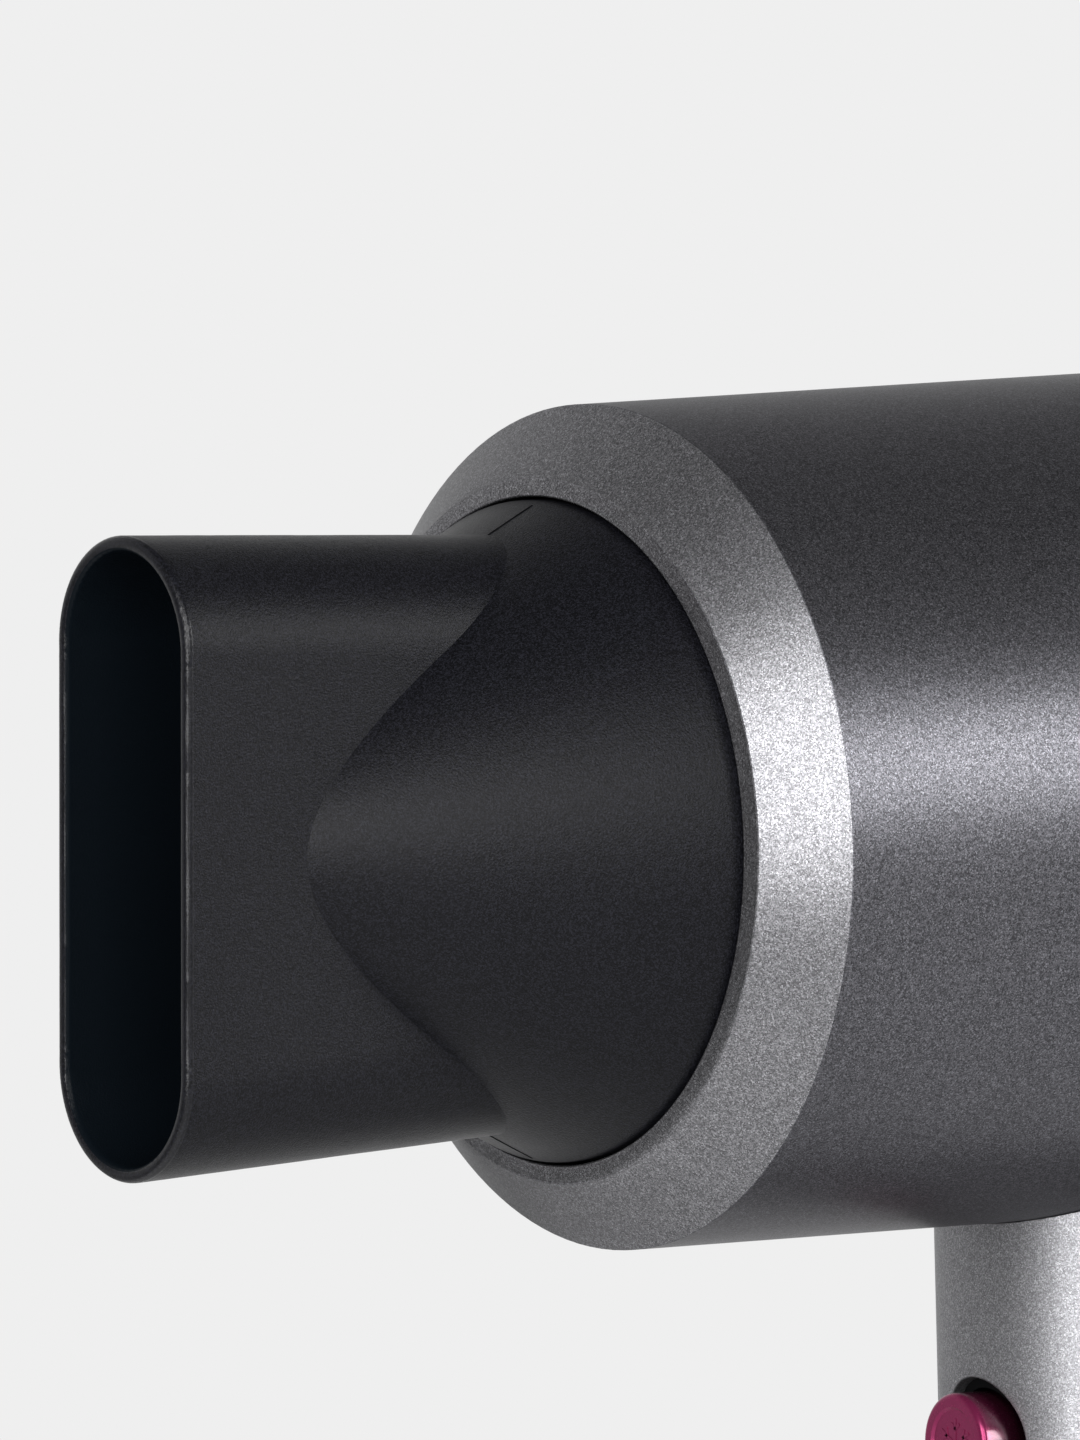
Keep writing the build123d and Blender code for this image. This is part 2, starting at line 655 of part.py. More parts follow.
BRUSH_X = MOTOR_FRONT_X - BRUSH_SETBACK
BELL_PLUG_X = MOTOR_FRONT_X - BELL_PLUG
CAN_BORE_R = MOTOR_R - MOTOR_WALL - FIT
with BuildPart() as motor_end_bell:
    turn(
        (BELL_PLUG_X, BUSH_R + FIT),
        (BELL_PLUG_X, CAN_BORE_R),
        (MOTOR_FRONT_X, CAN_BORE_R),
        (MOTOR_FRONT_X, MOTOR_R),
        (RECTIFIER_X, MOTOR_R),
        (RECTIFIER_X, BUSH_R + FIT),
    )
    holder_r = BRUSH_R + 2 * GAP + BRUSH_LENGTH / 2
    holders = [(holder_r, 0), (-holder_r, 0)]
    holder_rear_x = BRUSH_X - BRUSH_WIDTH / 2 - FIT - HOLDER_WALL
    holder_width = BRUSH_WIDTH + 2 * (FIT + HOLDER_WALL)
    block(across(holder_rear_x), BRUSH_LENGTH, holder_width, BELL_PLUG_X - holder_rear_x, holders)
    slot_rear = across(holder_rear_x + HOLDER_WALL)
    slot_width = BRUSH_WIDTH + 2 * FIT
    block(slot_rear, 2 * BRUSH_LENGTH, slot_width, slot_width, holders, mode=Mode.SUBTRACT)

with BuildPart() as motor_brushes:
    brush_r = BRUSH_R + GAP + BRUSH_LENGTH / 2
    brush_rear = across(BRUSH_X - BRUSH_WIDTH / 2)
    block(brush_rear, BRUSH_LENGTH, BRUSH_WIDTH, BRUSH_WIDTH, [(brush_r, 0), (-brush_r, 0)])

with BuildPart() as motor_magnets:
    magnet_rear_x = MOTOR_REAR_X + CORE_SETBACK / 2
    magnet_front_x = BRUSH_X - BRUSH_WIDTH
    turned_tube(magnet_rear_x, magnet_front_x, CAN_BORE_R - MAGNET_THICK, CAN_BORE_R)
    block(across(MOTOR_REAR_X), 2 * MOTOR_R, 0.65 * MOTOR_R, MOTOR_LENGTH, mode=Mode.SUBTRACT)

with BuildPart() as motor_bushes:
    bush_rear_x = MOTOR_REAR_X - BUSH_BOSS
    turned_tube(bush_rear_x, bush_rear_x + BUSH_LENGTH, SHAFT_R + RUN, BUSH_R)
    turned_tube(RECTIFIER_X - BUSH_LENGTH, RECTIFIER_X, SHAFT_R + RUN, BUSH_R)

with BuildPart() as motor_shaft:
    shaft_rear_x = FAN_REAR_X - GAP
    rod(across(shaft_rear_x), SHAFT_R, RECTIFIER_X + GAP - shaft_rear_x)

CORE_X = MOTOR_REAR_X + CORE_SETBACK
CORE_R = CAN_BORE_R - MAGNET_THICK - AIR_GAP
with BuildPart() as armature_core:
    with BuildSketch(across(CORE_X)):
        Circle(CORE_R)
        Circle(CORE_R - CORE_RIM, mode=Mode.SUBTRACT)
        with PolarLocations(CORE_R, POLES, start_angle=180 / POLES):
            Rectangle(3 * CORE_RIM, CORE_SLOT, mode=Mode.SUBTRACT)
        with PolarLocations(CORE_R / 2, POLES):
            Rectangle(CORE_R - CORE_RIM, ARM_WIDTH)
        Circle(CORE_HUB_R)
        Circle(SHAFT_R + RUN, mode=Mode.SUBTRACT)
    extrude(amount=CORE_LENGTH)

with BuildPart() as armature_windings:
    for pole in range(POLES):
        arm = Plane(
            origin=(CORE_X + CORE_LENGTH / 2, 0, BARREL_Z), x_dir=(1, 0, 0), z_dir=(0, 1, 0)
        ).rotated((360 * pole / POLES, 0, 0))
        inner_length = CORE_LENGTH + 2 * FIT
        inner_width = ARM_WIDTH + 2 * FIT
        winding_root = CORE_HUB_R + WINDING_THICK
        with BuildSketch(arm.offset(winding_root)) as turns:
            Rectangle(inner_length + 2 * WINDING_THICK, inner_width + 2 * WINDING_THICK)
            Rectangle(inner_length, inner_width, mode=Mode.SUBTRACT)
        winding_tip = sqrt((CORE_R - CORE_RIM) ** 2 - (inner_width / 2 + WINDING_THICK) ** 2) - GAP
        extrude(turns.sketch, amount=winding_tip - winding_root)

with BuildPart() as commutator:
    commutator_reach = BRUSH_WIDTH / 2 + HOLDER_WALL
    turned_tube(BRUSH_X - commutator_reach, BRUSH_X + commutator_reach, SHAFT_R + RUN, BRUSH_R)

FAN_TIP_R = SHROUD_R - FAN_GAP


def blade_section(radius, pitch):
    """Cross-section of a fan blade, square to its span at the given radius."""
    middle_x = FAN_REAR_X + FAN_LENGTH / 2
    plane = Plane(origin=(middle_x, 0, BARREL_Z + radius), x_dir=(1, 0, 0), z_dir=(0, 0, 1))
    chord = 0.8 * FAN_LENGTH / cos(radians(pitch))
    with BuildSketch(plane) as section:
        SlotOverall(chord, BLADE_THICK, rotation=pitch)
    return section.sketch


with BuildPart() as fan:
    with BuildPart(mode=Mode.PRIVATE) as fan_blade:
        root = blade_section(FAN_HUB_R - FAN_HUB_WALL / 2, ROOT_PITCH)
        loft([root, blade_section(FAN_TIP_R + 1, TIP_PITCH)])
        rod(across(FAN_REAR_X), FAN_TIP_R, FAN_LENGTH, mode=Mode.INTERSECT)
    turn(
        (FAN_REAR_X, SHAFT_R + RUN),
        (FAN_REAR_X, FAN_HUB_R - FAN_NOSE),
        (FAN_REAR_X + FAN_NOSE, FAN_HUB_R),
        (FAN_REAR_X + FAN_LENGTH, FAN_HUB_R),
        (FAN_REAR_X + FAN_LENGTH, FAN_HUB_R - FAN_HUB_WALL),
        (FAN_REAR_X + FAN_NOSE, FAN_HUB_R - FAN_HUB_WALL),
        (FAN_REAR_X + FAN_NOSE, FAN_BOSS_R),
        (FAN_REAR_X + FAN_LENGTH, FAN_BOSS_R),
        (FAN_REAR_X + FAN_LENGTH, SHAFT_R + RUN),
    )
    for blade_number in range(FAN_BLADES):
        add(fan_blade.part.rotate(BARREL_AXIS, 360 * blade_number / FAN_BLADES))

with BuildPart() as rectifier_board:
    with BuildSketch(across(RECTIFIER_X)):
        Circle(CAN_BORE_R)
        Circle(SHAFT_R + 3 * GAP, mode=Mode.SUBTRACT)
    extrude(amount=BOARD_THICK)

with BuildPart() as rectifier_diodes:
    diode_spots = [(side * DIODE_Y, row * DIODE_Z) for side in (1, -1) for row in (1, -1)]
    block(across(RECTIFIER_X + BOARD_THICK), DIODE_LENGTH, DIODE_WIDTH, DIODE_HEIGHT, diode_spots)

# Rear inlet

CAP_X = REAR_X - CAP_LENGTH
CAP_BORE_R = BARREL_R - CAP_WALL
CAP_SPIGOT_R = BORE_R - GAP
FILTER_X = REAR_X - FILTER_THICK  # front face of the filter
FILTER_R = CAP_BORE_R - FIT
FILTER_WINDOW_R = FILTER_R - FILTER_RIM
MESH_X = FILTER_X - FILTER_THICK - MESH_THICK
with BuildPart() as rear_cap:
    with BuildSketch(across(REAR_X)):
        Circle(BARREL_R)
    extrude(amount=-CAP_LENGTH)
    fillet(rear_cap.edges().filter_by(GeomType.CIRCLE).sort_by(Axis.X)[0], CAP_ROUND)
    chamfer(rear_cap.edges().filter_by(GeomType.CIRCLE).sort_by(Axis.X)[-1], SEAM)
    turn(
        (REAR_X, 0),
        (REAR_X, CAP_BORE_R),
        (CAP_X + CAP_ROUND, CAP_BORE_R),
        (CAP_X + CAP_WALL, CAP_BORE_R - CAP_ROUND + CAP_WALL),
        (CAP_X + CAP_WALL, 0),
        mode=Mode.SUBTRACT,
    )
    turned_tube(REAR_X, REAR_X + CAP_SPIGOT, CAP_SPIGOT_R - SPIGOT_RING, CAP_SPIGOT_R)
    in_wall_r = BARREL_R - CAP_WALL / 2
    turned_tube(FILTER_X, REAR_X - SEAM, CAP_SPIGOT_R - SPIGOT_RING, in_wall_r)
    turned_tube(REAR_X - SEAM, REAR_X, CAP_SPIGOT_R - SPIGOT_RING, CAP_SPIGOT_R)
    turned_tube(MESH_X - LEDGE_THICK, MESH_X, FILTER_R - FILTER_RIM / 2, in_wall_r)
    with BuildSketch(across(CAP_X)) as slots:
        for ring in reversed(range(INLET_RINGS)):
            radius = INLET_FIRST_R + ring * INLET_PITCH
            Circle(radius + INLET_SLOT / 2)
            Circle(radius - INLET_SLOT / 2, mode=Mode.SUBTRACT)
        with PolarLocations(BARREL_R / 2, INLET_RIBS):
            Rectangle(BARREL_R, INLET_RIB, mode=Mode.SUBTRACT)
    extrude(slots.sketch, amount=CAP_WALL + 1, mode=Mode.SUBTRACT)

with BuildPart() as filter_frame:
    turned_tube(FILTER_X - FILTER_THICK, FILTER_X, FILTER_WINDOW_R, FILTER_R)
    with BuildSketch(across(FILTER_X - FILTER_THICK)) as stays:
        for angle in (0, 60, 120):
            Rectangle(2 * FILTER_WINDOW_R + FILTER_RIM, FILTER_STAY, rotation=angle)
    extrude(stays.sketch, amount=FILTER_THICK)

with BuildPart() as filter_mesh:
    with BuildSketch(across(MESH_X)):
        Circle(FILTER_R)
        rows = int(FILTER_WINDOW_R / MESH_PITCH)
        for row in range(-rows, rows + 1):
            half = sqrt(FILTER_WINDOW_R**2 - (abs(row) * MESH_PITCH) ** 2) - MESH_PITCH / 2
            count = 2 * int(half / MESH_PITCH) + 1
            with Locations((0, row * MESH_PITCH)):
                with GridLocations(MESH_PITCH, MESH_PITCH, count, 1):
                    Rectangle(MESH_PITCH - MESH_BAR, MESH_PITCH - MESH_BAR, mode=Mode.SUBTRACT)
    extrude(amount=MESH_THICK)

# Handle

HOOK_Z = NECK_BOTTOM + NECK_FLANGE + GAP
BEAD_Z = HANDLE_BOTTOM + BEAD_RISE
PLUG_R = HANDLE_END_R - HANDLE_WALL - FIT


def bead_ring(grow, mode):
    """Ring of the end cap's bead, or of its groove when grown."""
    with BuildSketch(Plane.XY.offset(BEAD_Z - grow)) as bead:
        Circle(PLUG_R + BEAD + grow)
        Circle(PLUG_R - PLUG_WALL / 2, mode=Mode.SUBTRACT)
    extrude(bead.sketch, amount=BEAD_HEIGHT + 2 * grow, mode=mode)


def seam_groove():
    """Cut the fine groove along the line where the handle's two shells meet."""
    with BuildPart(mode=Mode.PRIVATE) as groove:
        slab = Plane.YZ.offset(-SEAM / 2)
        block(slab, 3 * HANDLE_TOP_R, 2 * HANDLE_LENGTH, SEAM, [(0, HANDLE_BOTTOM + HANDLE_LENGTH / 2)])
        handle_cone(SEAM, mode=Mode.SUBTRACT)
    add(groove.part, mode=Mode.SUBTRACT)


def handle_tube():
    """The whole hollow handle, with the hook for the neck, before it is halved."""
    handle_cone(0)
    seam_groove()
    handle_cone(HANDLE_WALL, mode=Mode.SUBTRACT)
    with BuildSketch(Plane.XY.offset(HOOK_Z)) as hook:
        Circle(handle_r(HOOK_Z) - HANDLE_WALL / 2)
        Circle(NECK_R + GAP, mode=Mode.SUBTRACT)
    extrude(hook.sketch, amount=NECK_FLANGE)
    bead_ring(FIT, Mode.SUBTRACT)


def in_wall(bosses):
    """Add bosses and posts to a handle shell, ended halfway through its wall."""
    with BuildPart(mode=Mode.PRIVATE) as rods:
        for plane, radius, length, points in bosses:
            rod(plane, radius, length, points)
        handle_cone(HANDLE_WALL / 2, mode=Mode.INTERSECT)
    add(rods.part)


def saddle():
    """Cut the handle's top to the barrel's curve."""
    rod(across(REAR_X), BARREL_R + FIT, FRONT_X - REAR_X, mode=Mode.SUBTRACT)


BOSS_HEIGHTS = (UPPER_BOSS_Z, LOWER_BOSS_Z)
BOSS_SPOTS = [(0, z) for z in BOSS_HEIGHTS]
CLAMP_SPOTS = [(CLAMP_SPREAD, CLAMP_Z), (-CLAMP_SPREAD, CLAMP_Z)]
BUTTON_PLANE = across(0, BUTTON_Z)
COLLET_RIM_R = COLLET_R + COLLET_RIM
COLLET_RIM_X = sqrt((handle_r(BUTTON_Z) - HANDLE_WALL) ** 2 - COLLET_RIM_R**2) - GAP
COLLET_X = COLLET_RIM_X - COLLET_RIM_THICK  # back of the ring round the button
FLANGE_X = COLLET_X - GAP - FLANGE_THICK  # back of the button's flange
COOL_SWITCH_X = FLANGE_X - SPRING_LENGTH
PANEL_DEPTH = HANDLE_WALL + FIT + PANEL_RIM  # back of the panel's rim below the handle's surface
PANEL_REAR = SWITCH_FACE.offset(-2 * PANEL_DEPTH)
PANEL_CUT = 3 * PANEL_DEPTH
with BuildPart() as handle_front_shell:
    handle_tube()
    split(bisect_by=Plane.YZ, keep=Keep.TOP)
    in_wall(
        [
            (Plane.YZ.offset(BOARD_THICK), BOSS_R, HANDLE_TOP_R, BOSS_SPOTS),
            (Plane.YZ, BOSS_PIN_R, 2 * BOARD_THICK, BOSS_SPOTS),
            (Plane.YZ.offset(CORD_X), CLAMP_POST_R, HANDLE_TOP_R, CLAMP_SPOTS),
        ]
    )
    for z in BOSS_HEIGHTS:
        screw_tip_x = SCREW_SINK - handle_r(z) + SCREW_LENGTH + GAP
        rod(across(0, z), SCREW_R + RUN, screw_tip_x, mode=Mode.SUBTRACT)
    screw_bore = CORD_X + CLAMP_GRIP + GAP
    rod(Plane.YZ, CLAMP_SCREW_R + RUN, screw_bore, CLAMP_SPOTS, mode=Mode.SUBTRACT)
    with BuildSketch(PANEL_REAR) as window:
        RectangleRounded(PANEL_WIDTH + 2 * FIT, PANEL_HEIGHT + 2 * FIT, PANEL_CORNER + FIT)
    extrude(window.sketch, amount=PANEL_CUT, mode=Mode.SUBTRACT)
    rod(BUTTON_PLANE.offset(COOL_SWITCH_X), COLLET_R + FIT, HANDLE_TOP_R, mode=Mode.SUBTRACT)
    fillet(handle_front_shell.edges(Select.LAST).sort_by(Axis.X)[-1], HOLE_ROUND)
    saddle()

with BuildPart() as handle_rear_shell:
    handle_tube()
    split(bisect_by=Plane.YZ, keep=Keep.BOTTOM)
    in_wall([(Plane.YZ, BOSS_R, -HANDLE_TOP_R, BOSS_SPOTS)])
    rod(Plane.YZ, SCREW_R + GAP, -HANDLE_TOP_R, BOSS_SPOTS, mode=Mode.SUBTRACT)
    for z in BOSS_HEIGHTS:
        rod(across(SCREW_SINK - handle_r(z), z), SCREW_HEAD_R + GAP, -SCREW_SINK, mode=Mode.SUBTRACT)
    saddle()

with BuildPart() as handle_screws:
    for z in BOSS_HEIGHTS:
        under_head = across(SCREW_SINK - handle_r(z), z)
        rod(under_head, SCREW_R, SCREW_LENGTH)
        rod(under_head, SCREW_HEAD_R, -SCREW_HEAD)
        head_top = under_head.offset(-SCREW_HEAD)
        block(head_top, DRIVE_LENGTH, DRIVE_WIDTH, DRIVE_DEPTH, mode=Mode.SUBTRACT)
        block(head_top, DRIVE_WIDTH, DRIVE_LENGTH, DRIVE_DEPTH, mode=Mode.SUBTRACT)

# Switches and sliders

with BuildPart() as switch_board:
    board_top = NECK_BOTTOM - BOARD_MARGIN
    board_bottom = LOWER_BOSS_Z - BOSS_R - BOARD_MARGIN
    middle_z = (board_top + board_bottom) / 2
    block(Plane.YZ, BOARD_WIDTH, board_top - board_bottom, BOARD_THICK, [(0, middle_z)])
    rod(Plane.YZ, BOSS_PIN_R + FIT, BOARD_THICK, BOSS_SPOTS, mode=Mode.SUBTRACT)

SWITCH_DEPTH = handle_r(PANEL_Z) - BOARD_THICK - SWITCH_CLEAR
SLOT_HEIGHT = STEM_HEIGHT + SLIDER_TRAVEL + 2 * GAP


def slide_switch(offset):
    """Slide switch body on the board, with the trough that the slider's stem moves in."""
    z = PANEL_Z + offset
    block(across(BOARD_THICK, z), SWITCH_WIDTH, SWITCH_HEIGHT, SWITCH_DEPTH)
    top = across(BOARD_THICK + SWITCH_DEPTH, z)
    block(top, STEM_WIDTH + 2 * GAP, SLOT_HEIGHT + 2 * GAP, -TROUGH_DEPTH, mode=Mode.SUBTRACT)


with BuildPart() as speed_switch:
    slide_switch(SLIDER_OFFSET)

with BuildPart() as heat_switch:
    slide_switch(-SLIDER_OFFSET)

with BuildPart() as switch_bezel:
    with BuildPart(mode=Mode.PRIVATE) as panel_rim:
        handle_cone(HANDLE_WALL + FIT)
        handle_cone(PANEL_DEPTH, mode=Mode.SUBTRACT)
        with BuildSketch(PANEL_REAR) as rim_outline:
            rim_width = PANEL_WIDTH + 2 * PANEL_RIM
            rim_height = PANEL_HEIGHT + 2 * PANEL_RIM
            RectangleRounded(rim_width, rim_height, PANEL_CORNER + PANEL_RIM)
        extrude(rim_outline.sketch, amount=PANEL_CUT, mode=Mode.INTERSECT)
    handle_cone(-PANEL_PROUD)
    handle_cone(HANDLE_WALL + FIT, mode=Mode.SUBTRACT)
    with BuildSketch(PANEL_REAR) as panel_outline:
        RectangleRounded(PANEL_WIDTH, PANEL_HEIGHT, PANEL_CORNER)
    extrude(panel_outline.sketch, amount=PANEL_CUT, mode=Mode.INTERSECT)
    add(panel_rim.part)
    stem_slots = [(0, SLIDER_OFFSET), (0, -SLIDER_OFFSET)]
    block(PANEL_REAR, STEM_WIDTH + 2 * GAP, SLOT_HEIGHT, PANEL_CUT, stem_slots, mode=Mode.SUBTRACT)

CLIP_DEPTH = PANEL_DEPTH + 3 * GAP


def slider(offset):
    """Ribbed slider knob at the bottom of its slot, with its stem and the clip behind the bezel."""
    rest = [(0, offset - SLIDER_TRAVEL / 2)]
    base = PANEL_PROUD + GAP
    with BuildSketch(SWITCH_FACE.offset(base)) as knob:
        with Locations(*rest):
            RectangleRounded(KNOB_WIDTH, KNOB_HEIGHT, KNOB_CORNER)
    extrude(knob.sketch, amount=KNOB_PROUD, taper=KNOB_TAPER)
    top = SWITCH_FACE.offset(base + KNOB_PROUD)
    grooves = [(0, rest[0][1] + step * GROOVE_PITCH) for step in (-1, 0, 1)]
    block(top, KNOB_WIDTH, GROOVE_WIDTH, -GROOVE_DEPTH, grooves, mode=Mode.SUBTRACT)
    block(SWITCH_FACE.offset(base), STEM_WIDTH, STEM_HEIGHT, -STEM_REACH - base, rest)
    block(SWITCH_FACE.offset(-CLIP_DEPTH), CLIP_WIDTH, CLIP_HEIGHT, -CLIP_THICK, rest)


with BuildPart() as speed_slider:
    slider(SLIDER_OFFSET)

with BuildPart() as heat_slider:
    slider(-SLIDER_OFFSET)

# Cool button

BUTTON_FACE_X = handle_r(BUTTON_Z) + BUTTON_PROUD
BUTTON_AXIS = Axis((0, 0, BUTTON_Z), (1, 0, 0))
BUTTON_PROFILE = Plane(origin=(0, 0, BUTTON_Z), x_dir=(1, 0, 0), z_dir=(0, -1, 0))
STEM_END_X = COOL_SWITCH_X + 2 * GAP
with BuildPart() as cool_button:
    with BuildSketch(BUTTON_PROFILE) as outline:
        with BuildLine():
            Polyline(
                (STEM_END_X, 0),
                (STEM_END_X, BUTTON_STEM_R),
                (FLANGE_X, BUTTON_STEM_R),
                (FLANGE_X, BUTTON_R + BUTTON_FLANGE),
                (FLANGE_X + FLANGE_THICK, BUTTON_R + BUTTON_FLANGE),
                (FLANGE_X + FLANGE_THICK, BUTTON_R),
                (BUTTON_FACE_X, BUTTON_R),
                (BUTTON_FACE_X, BUTTON_R - DISH_RIM),
                (BUTTON_FACE_X - DISH_DEPTH, BUTTON_R - DISH_RIM - DISH_DEPTH),
                (BUTTON_FACE_X - DISH_DEPTH, 0),
                close=True,
            )
        make_face()
    revolve(outline.sketch, axis=BUTTON_AXIS)
    outer_edge = cool_button.edges().filter_by(GeomType.CIRCLE).group_by(Axis.X)[-1]
    fillet(outer_edge.sort_by(SortBy.RADIUS)[-1], BUTTON_ROUND)

with BuildPart() as button_bezel:
    collet_rear = BUTTON_PLANE.offset(COLLET_X)
    rod(collet_rear, COLLET_R, HANDLE_TOP_R)
    handle_cone(COLLET_SINK, mode=Mode.INTERSECT)
    rod(collet_rear, COLLET_RIM_R, COLLET_RIM_THICK)
    rod(BUTTON_PLANE, BUTTON_R + GAP, 2 * HANDLE_TOP_R, mode=Mode.SUBTRACT)

with BuildPart() as cool_switch:
    switch_height = COOL_SWITCH_X - BOARD_THICK
    block(across(BOARD_THICK, BUTTON_Z), COOL_SWITCH_WIDTH, COOL_SWITCH_HEIGHT, switch_height)
    stem_bore = across(COOL_SWITCH_X, BUTTON_Z)
    rod(stem_bore, BUTTON_STEM_R + GAP, -BUTTON_TRAVEL - 2 * GAP, mode=Mode.SUBTRACT)

with BuildPart() as button_spring:
    spring_start = COOL_SWITCH_X + SPRING_WIRE_R + FIT
    spring_pitch = (FLANGE_X - spring_start - SPRING_WIRE_R - FIT) / SPRING_TURNS

    def spring_point(half_turns):
        """Point on the spring's centre line after so many half turns."""
        angle = radians(180 * half_turns)
        x = spring_start + half_turns * spring_pitch / 2
        return (x, SPRING_R * cos(angle), BUTTON_Z + SPRING_R * sin(angle))

    with BuildLine() as spring_line:
        for half in range(2 * SPRING_TURNS):
            ThreePointArc(spring_point(half), spring_point(half + 0.5), spring_point(half + 1))
    with BuildSketch(Plane(origin=spring_line.line @ 0, z_dir=spring_line.line % 0)) as wire:
        Circle(SPRING_WIRE_R)
    sweep(wire.sketch, path=spring_line.line)

# Handle end, cord entry and leads

EYE_Z = HANDLE_BOTTOM - END_THICK - EYE_R - EYE_DROP
CORD_SPOT = [(CORD_X, 0)]
END_PLANE = Plane.XY.offset(HANDLE_BOTTOM)
with BuildPart() as handle_end_cap:
    rod(END_PLANE, HANDLE_END_R, -END_THICK)
    rims = handle_end_cap.edges().filter_by(GeomType.CIRCLE).sort_by(Axis.Z)
    fillet(rims[0], END_ROUND)
    chamfer(handle_end_cap.edges().filter_by(GeomType.CIRCLE).sort_by(Axis.Z)[-1], SEAM)
    with BuildPart(mode=Mode.PRIVATE) as eye:
        with BuildSketch(Plane.XZ) as eye_outline:
            with Locations((EYE_X, EYE_Z)):
                Circle(EYE_R + EYE_RIM)
            stem_top = HANDLE_BOTTOM - END_THICK / 2
            with Locations((EYE_X, (EYE_Z + stem_top) / 2)):
                Rectangle(2 * (EYE_R + EYE_RIM), stem_top - EYE_Z)
        extrude(eye_outline.sketch, amount=EYE_THICK / 2, both=True)
        fillet(eye.faces().filter_by(Axis.Y).edges(), EYE_ROUND)
    add(eye.part)
    with BuildSketch(END_PLANE) as plug:
        Circle(PLUG_R)
        Circle(PLUG_R - PLUG_WALL, mode=Mode.SUBTRACT)
    extrude(plug.sketch, amount=PLUG_LENGTH)
    bead_ring(0, Mode.ADD)
    rod(Plane.XZ.offset(-EYE_THICK), EYE_R, 2 * EYE_THICK, [(EYE_X, EYE_Z)], mode=Mode.SUBTRACT)
    rod(END_PLANE.offset(1), CORD_R + GLAND_WALL, -2 * END_THICK, CORD_SPOT, mode=Mode.SUBTRACT)

GLAND_R = CORD_R + GLAND_WALL - FIT
with BuildPart() as cord_gland:
    rod(END_PLANE, GLAND_R, -END_THICK, CORD_SPOT)
    rod(END_PLANE, GLAND_R + GLAND_FLANGE, GLAND_FLANGE_THICK, CORD_SPOT)
    rod(END_PLANE.offset(-END_THICK), GLAND_R + GLAND_LIP, -GLAND_LIP_THICK, CORD_SPOT)
    lip = cord_gland.edges().filter_by(GeomType.CIRCLE).sort_by(Axis.Z)[0]
    fillet(lip, GLAND_LIP)
    cord_bore = END_PLANE.offset(2 * GLAND_FLANGE_THICK)
    rod(cord_bore, CORD_R, -2 * END_THICK, CORD_SPOT, mode=Mode.SUBTRACT)

with BuildPart() as cord_clamp:
    clamp_face = Plane.YZ.offset(CORD_X)
    clamp_width = 2 * (CLAMP_SPREAD + CLAMP_MARGIN)
    block(clamp_face, clamp_width, CLAMP_HEIGHT, -CLAMP_THICK, [(0, CLAMP_Z)])
    groove = Plane.XY.offset(CLAMP_Z - CLAMP_HEIGHT)
    groove_spot = [(CORD_X + CLAMP_THICK / 2, 0)]
    rod(groove, CORD_R - CLAMP_BITE, 2 * CLAMP_HEIGHT, groove_spot, mode=Mode.SUBTRACT)
    rod(clamp_face, CLAMP_SCREW_R + GAP, -CLAMP_THICK, CLAMP_SPOTS, mode=Mode.SUBTRACT)

with BuildPart() as clamp_screws:
    clamp_back = Plane.YZ.offset(CORD_X - CLAMP_THICK)
    rod(clamp_back, CLAMP_SCREW_R, CLAMP_THICK + CLAMP_GRIP, CLAMP_SPOTS)
    rod(clamp_back, CLAMP_HEAD_R, -CLAMP_HEAD, CLAMP_SPOTS)
    slot_plane = clamp_back.offset(-CLAMP_HEAD)
    slot_length = 1.3 * CLAMP_HEAD_R
    block(slot_plane, slot_length, DRIVE_WIDTH, CLAMP_HEAD / 2, CLAMP_SPOTS, mode=Mode.SUBTRACT)

LEAD_Y = MICA_THICK / 2 + RIVET_HEAD + LEAD_R


def lead(points):
    """One insulated wire along straight runs with rounded bends."""
    with BuildLine() as path:
        FilletPolyline(*points, radius=LEAD_BEND)
    with BuildSketch(Plane(origin=path.line @ 0, z_dir=path.line % 0)) as section:
        Circle(LEAD_R)
    sweep(section.sketch, path=path.line)


with BuildPart() as lead_wires:
    lead_x = BOARD_THICK + LEAD_R
    turn_z = BARREL_Z - (BORE_R + SOCKET_R + DUCT_WALL) / 2
    for side in (1, -1):
        lead(
            [
                (lead_x, side * LEAD_SPREAD, BUTTON_Z),
                (lead_x, side * LEAD_SPREAD, turn_z),
                (RIVET_X, side * LEAD_Y, turn_z),
                (RIVET_X, side * LEAD_Y, BARREL_Z + RIVET_LOW),
            ]
        )

with BuildPart() as motor_leads:
    lead_start = RECTIFIER_X + BOARD_THICK
    for side in (1, -1):
        rod(across(lead_start), LEAD_R, RIVET_X - lead_start, [(side * LEAD_Y, RIVET_HIGH)])

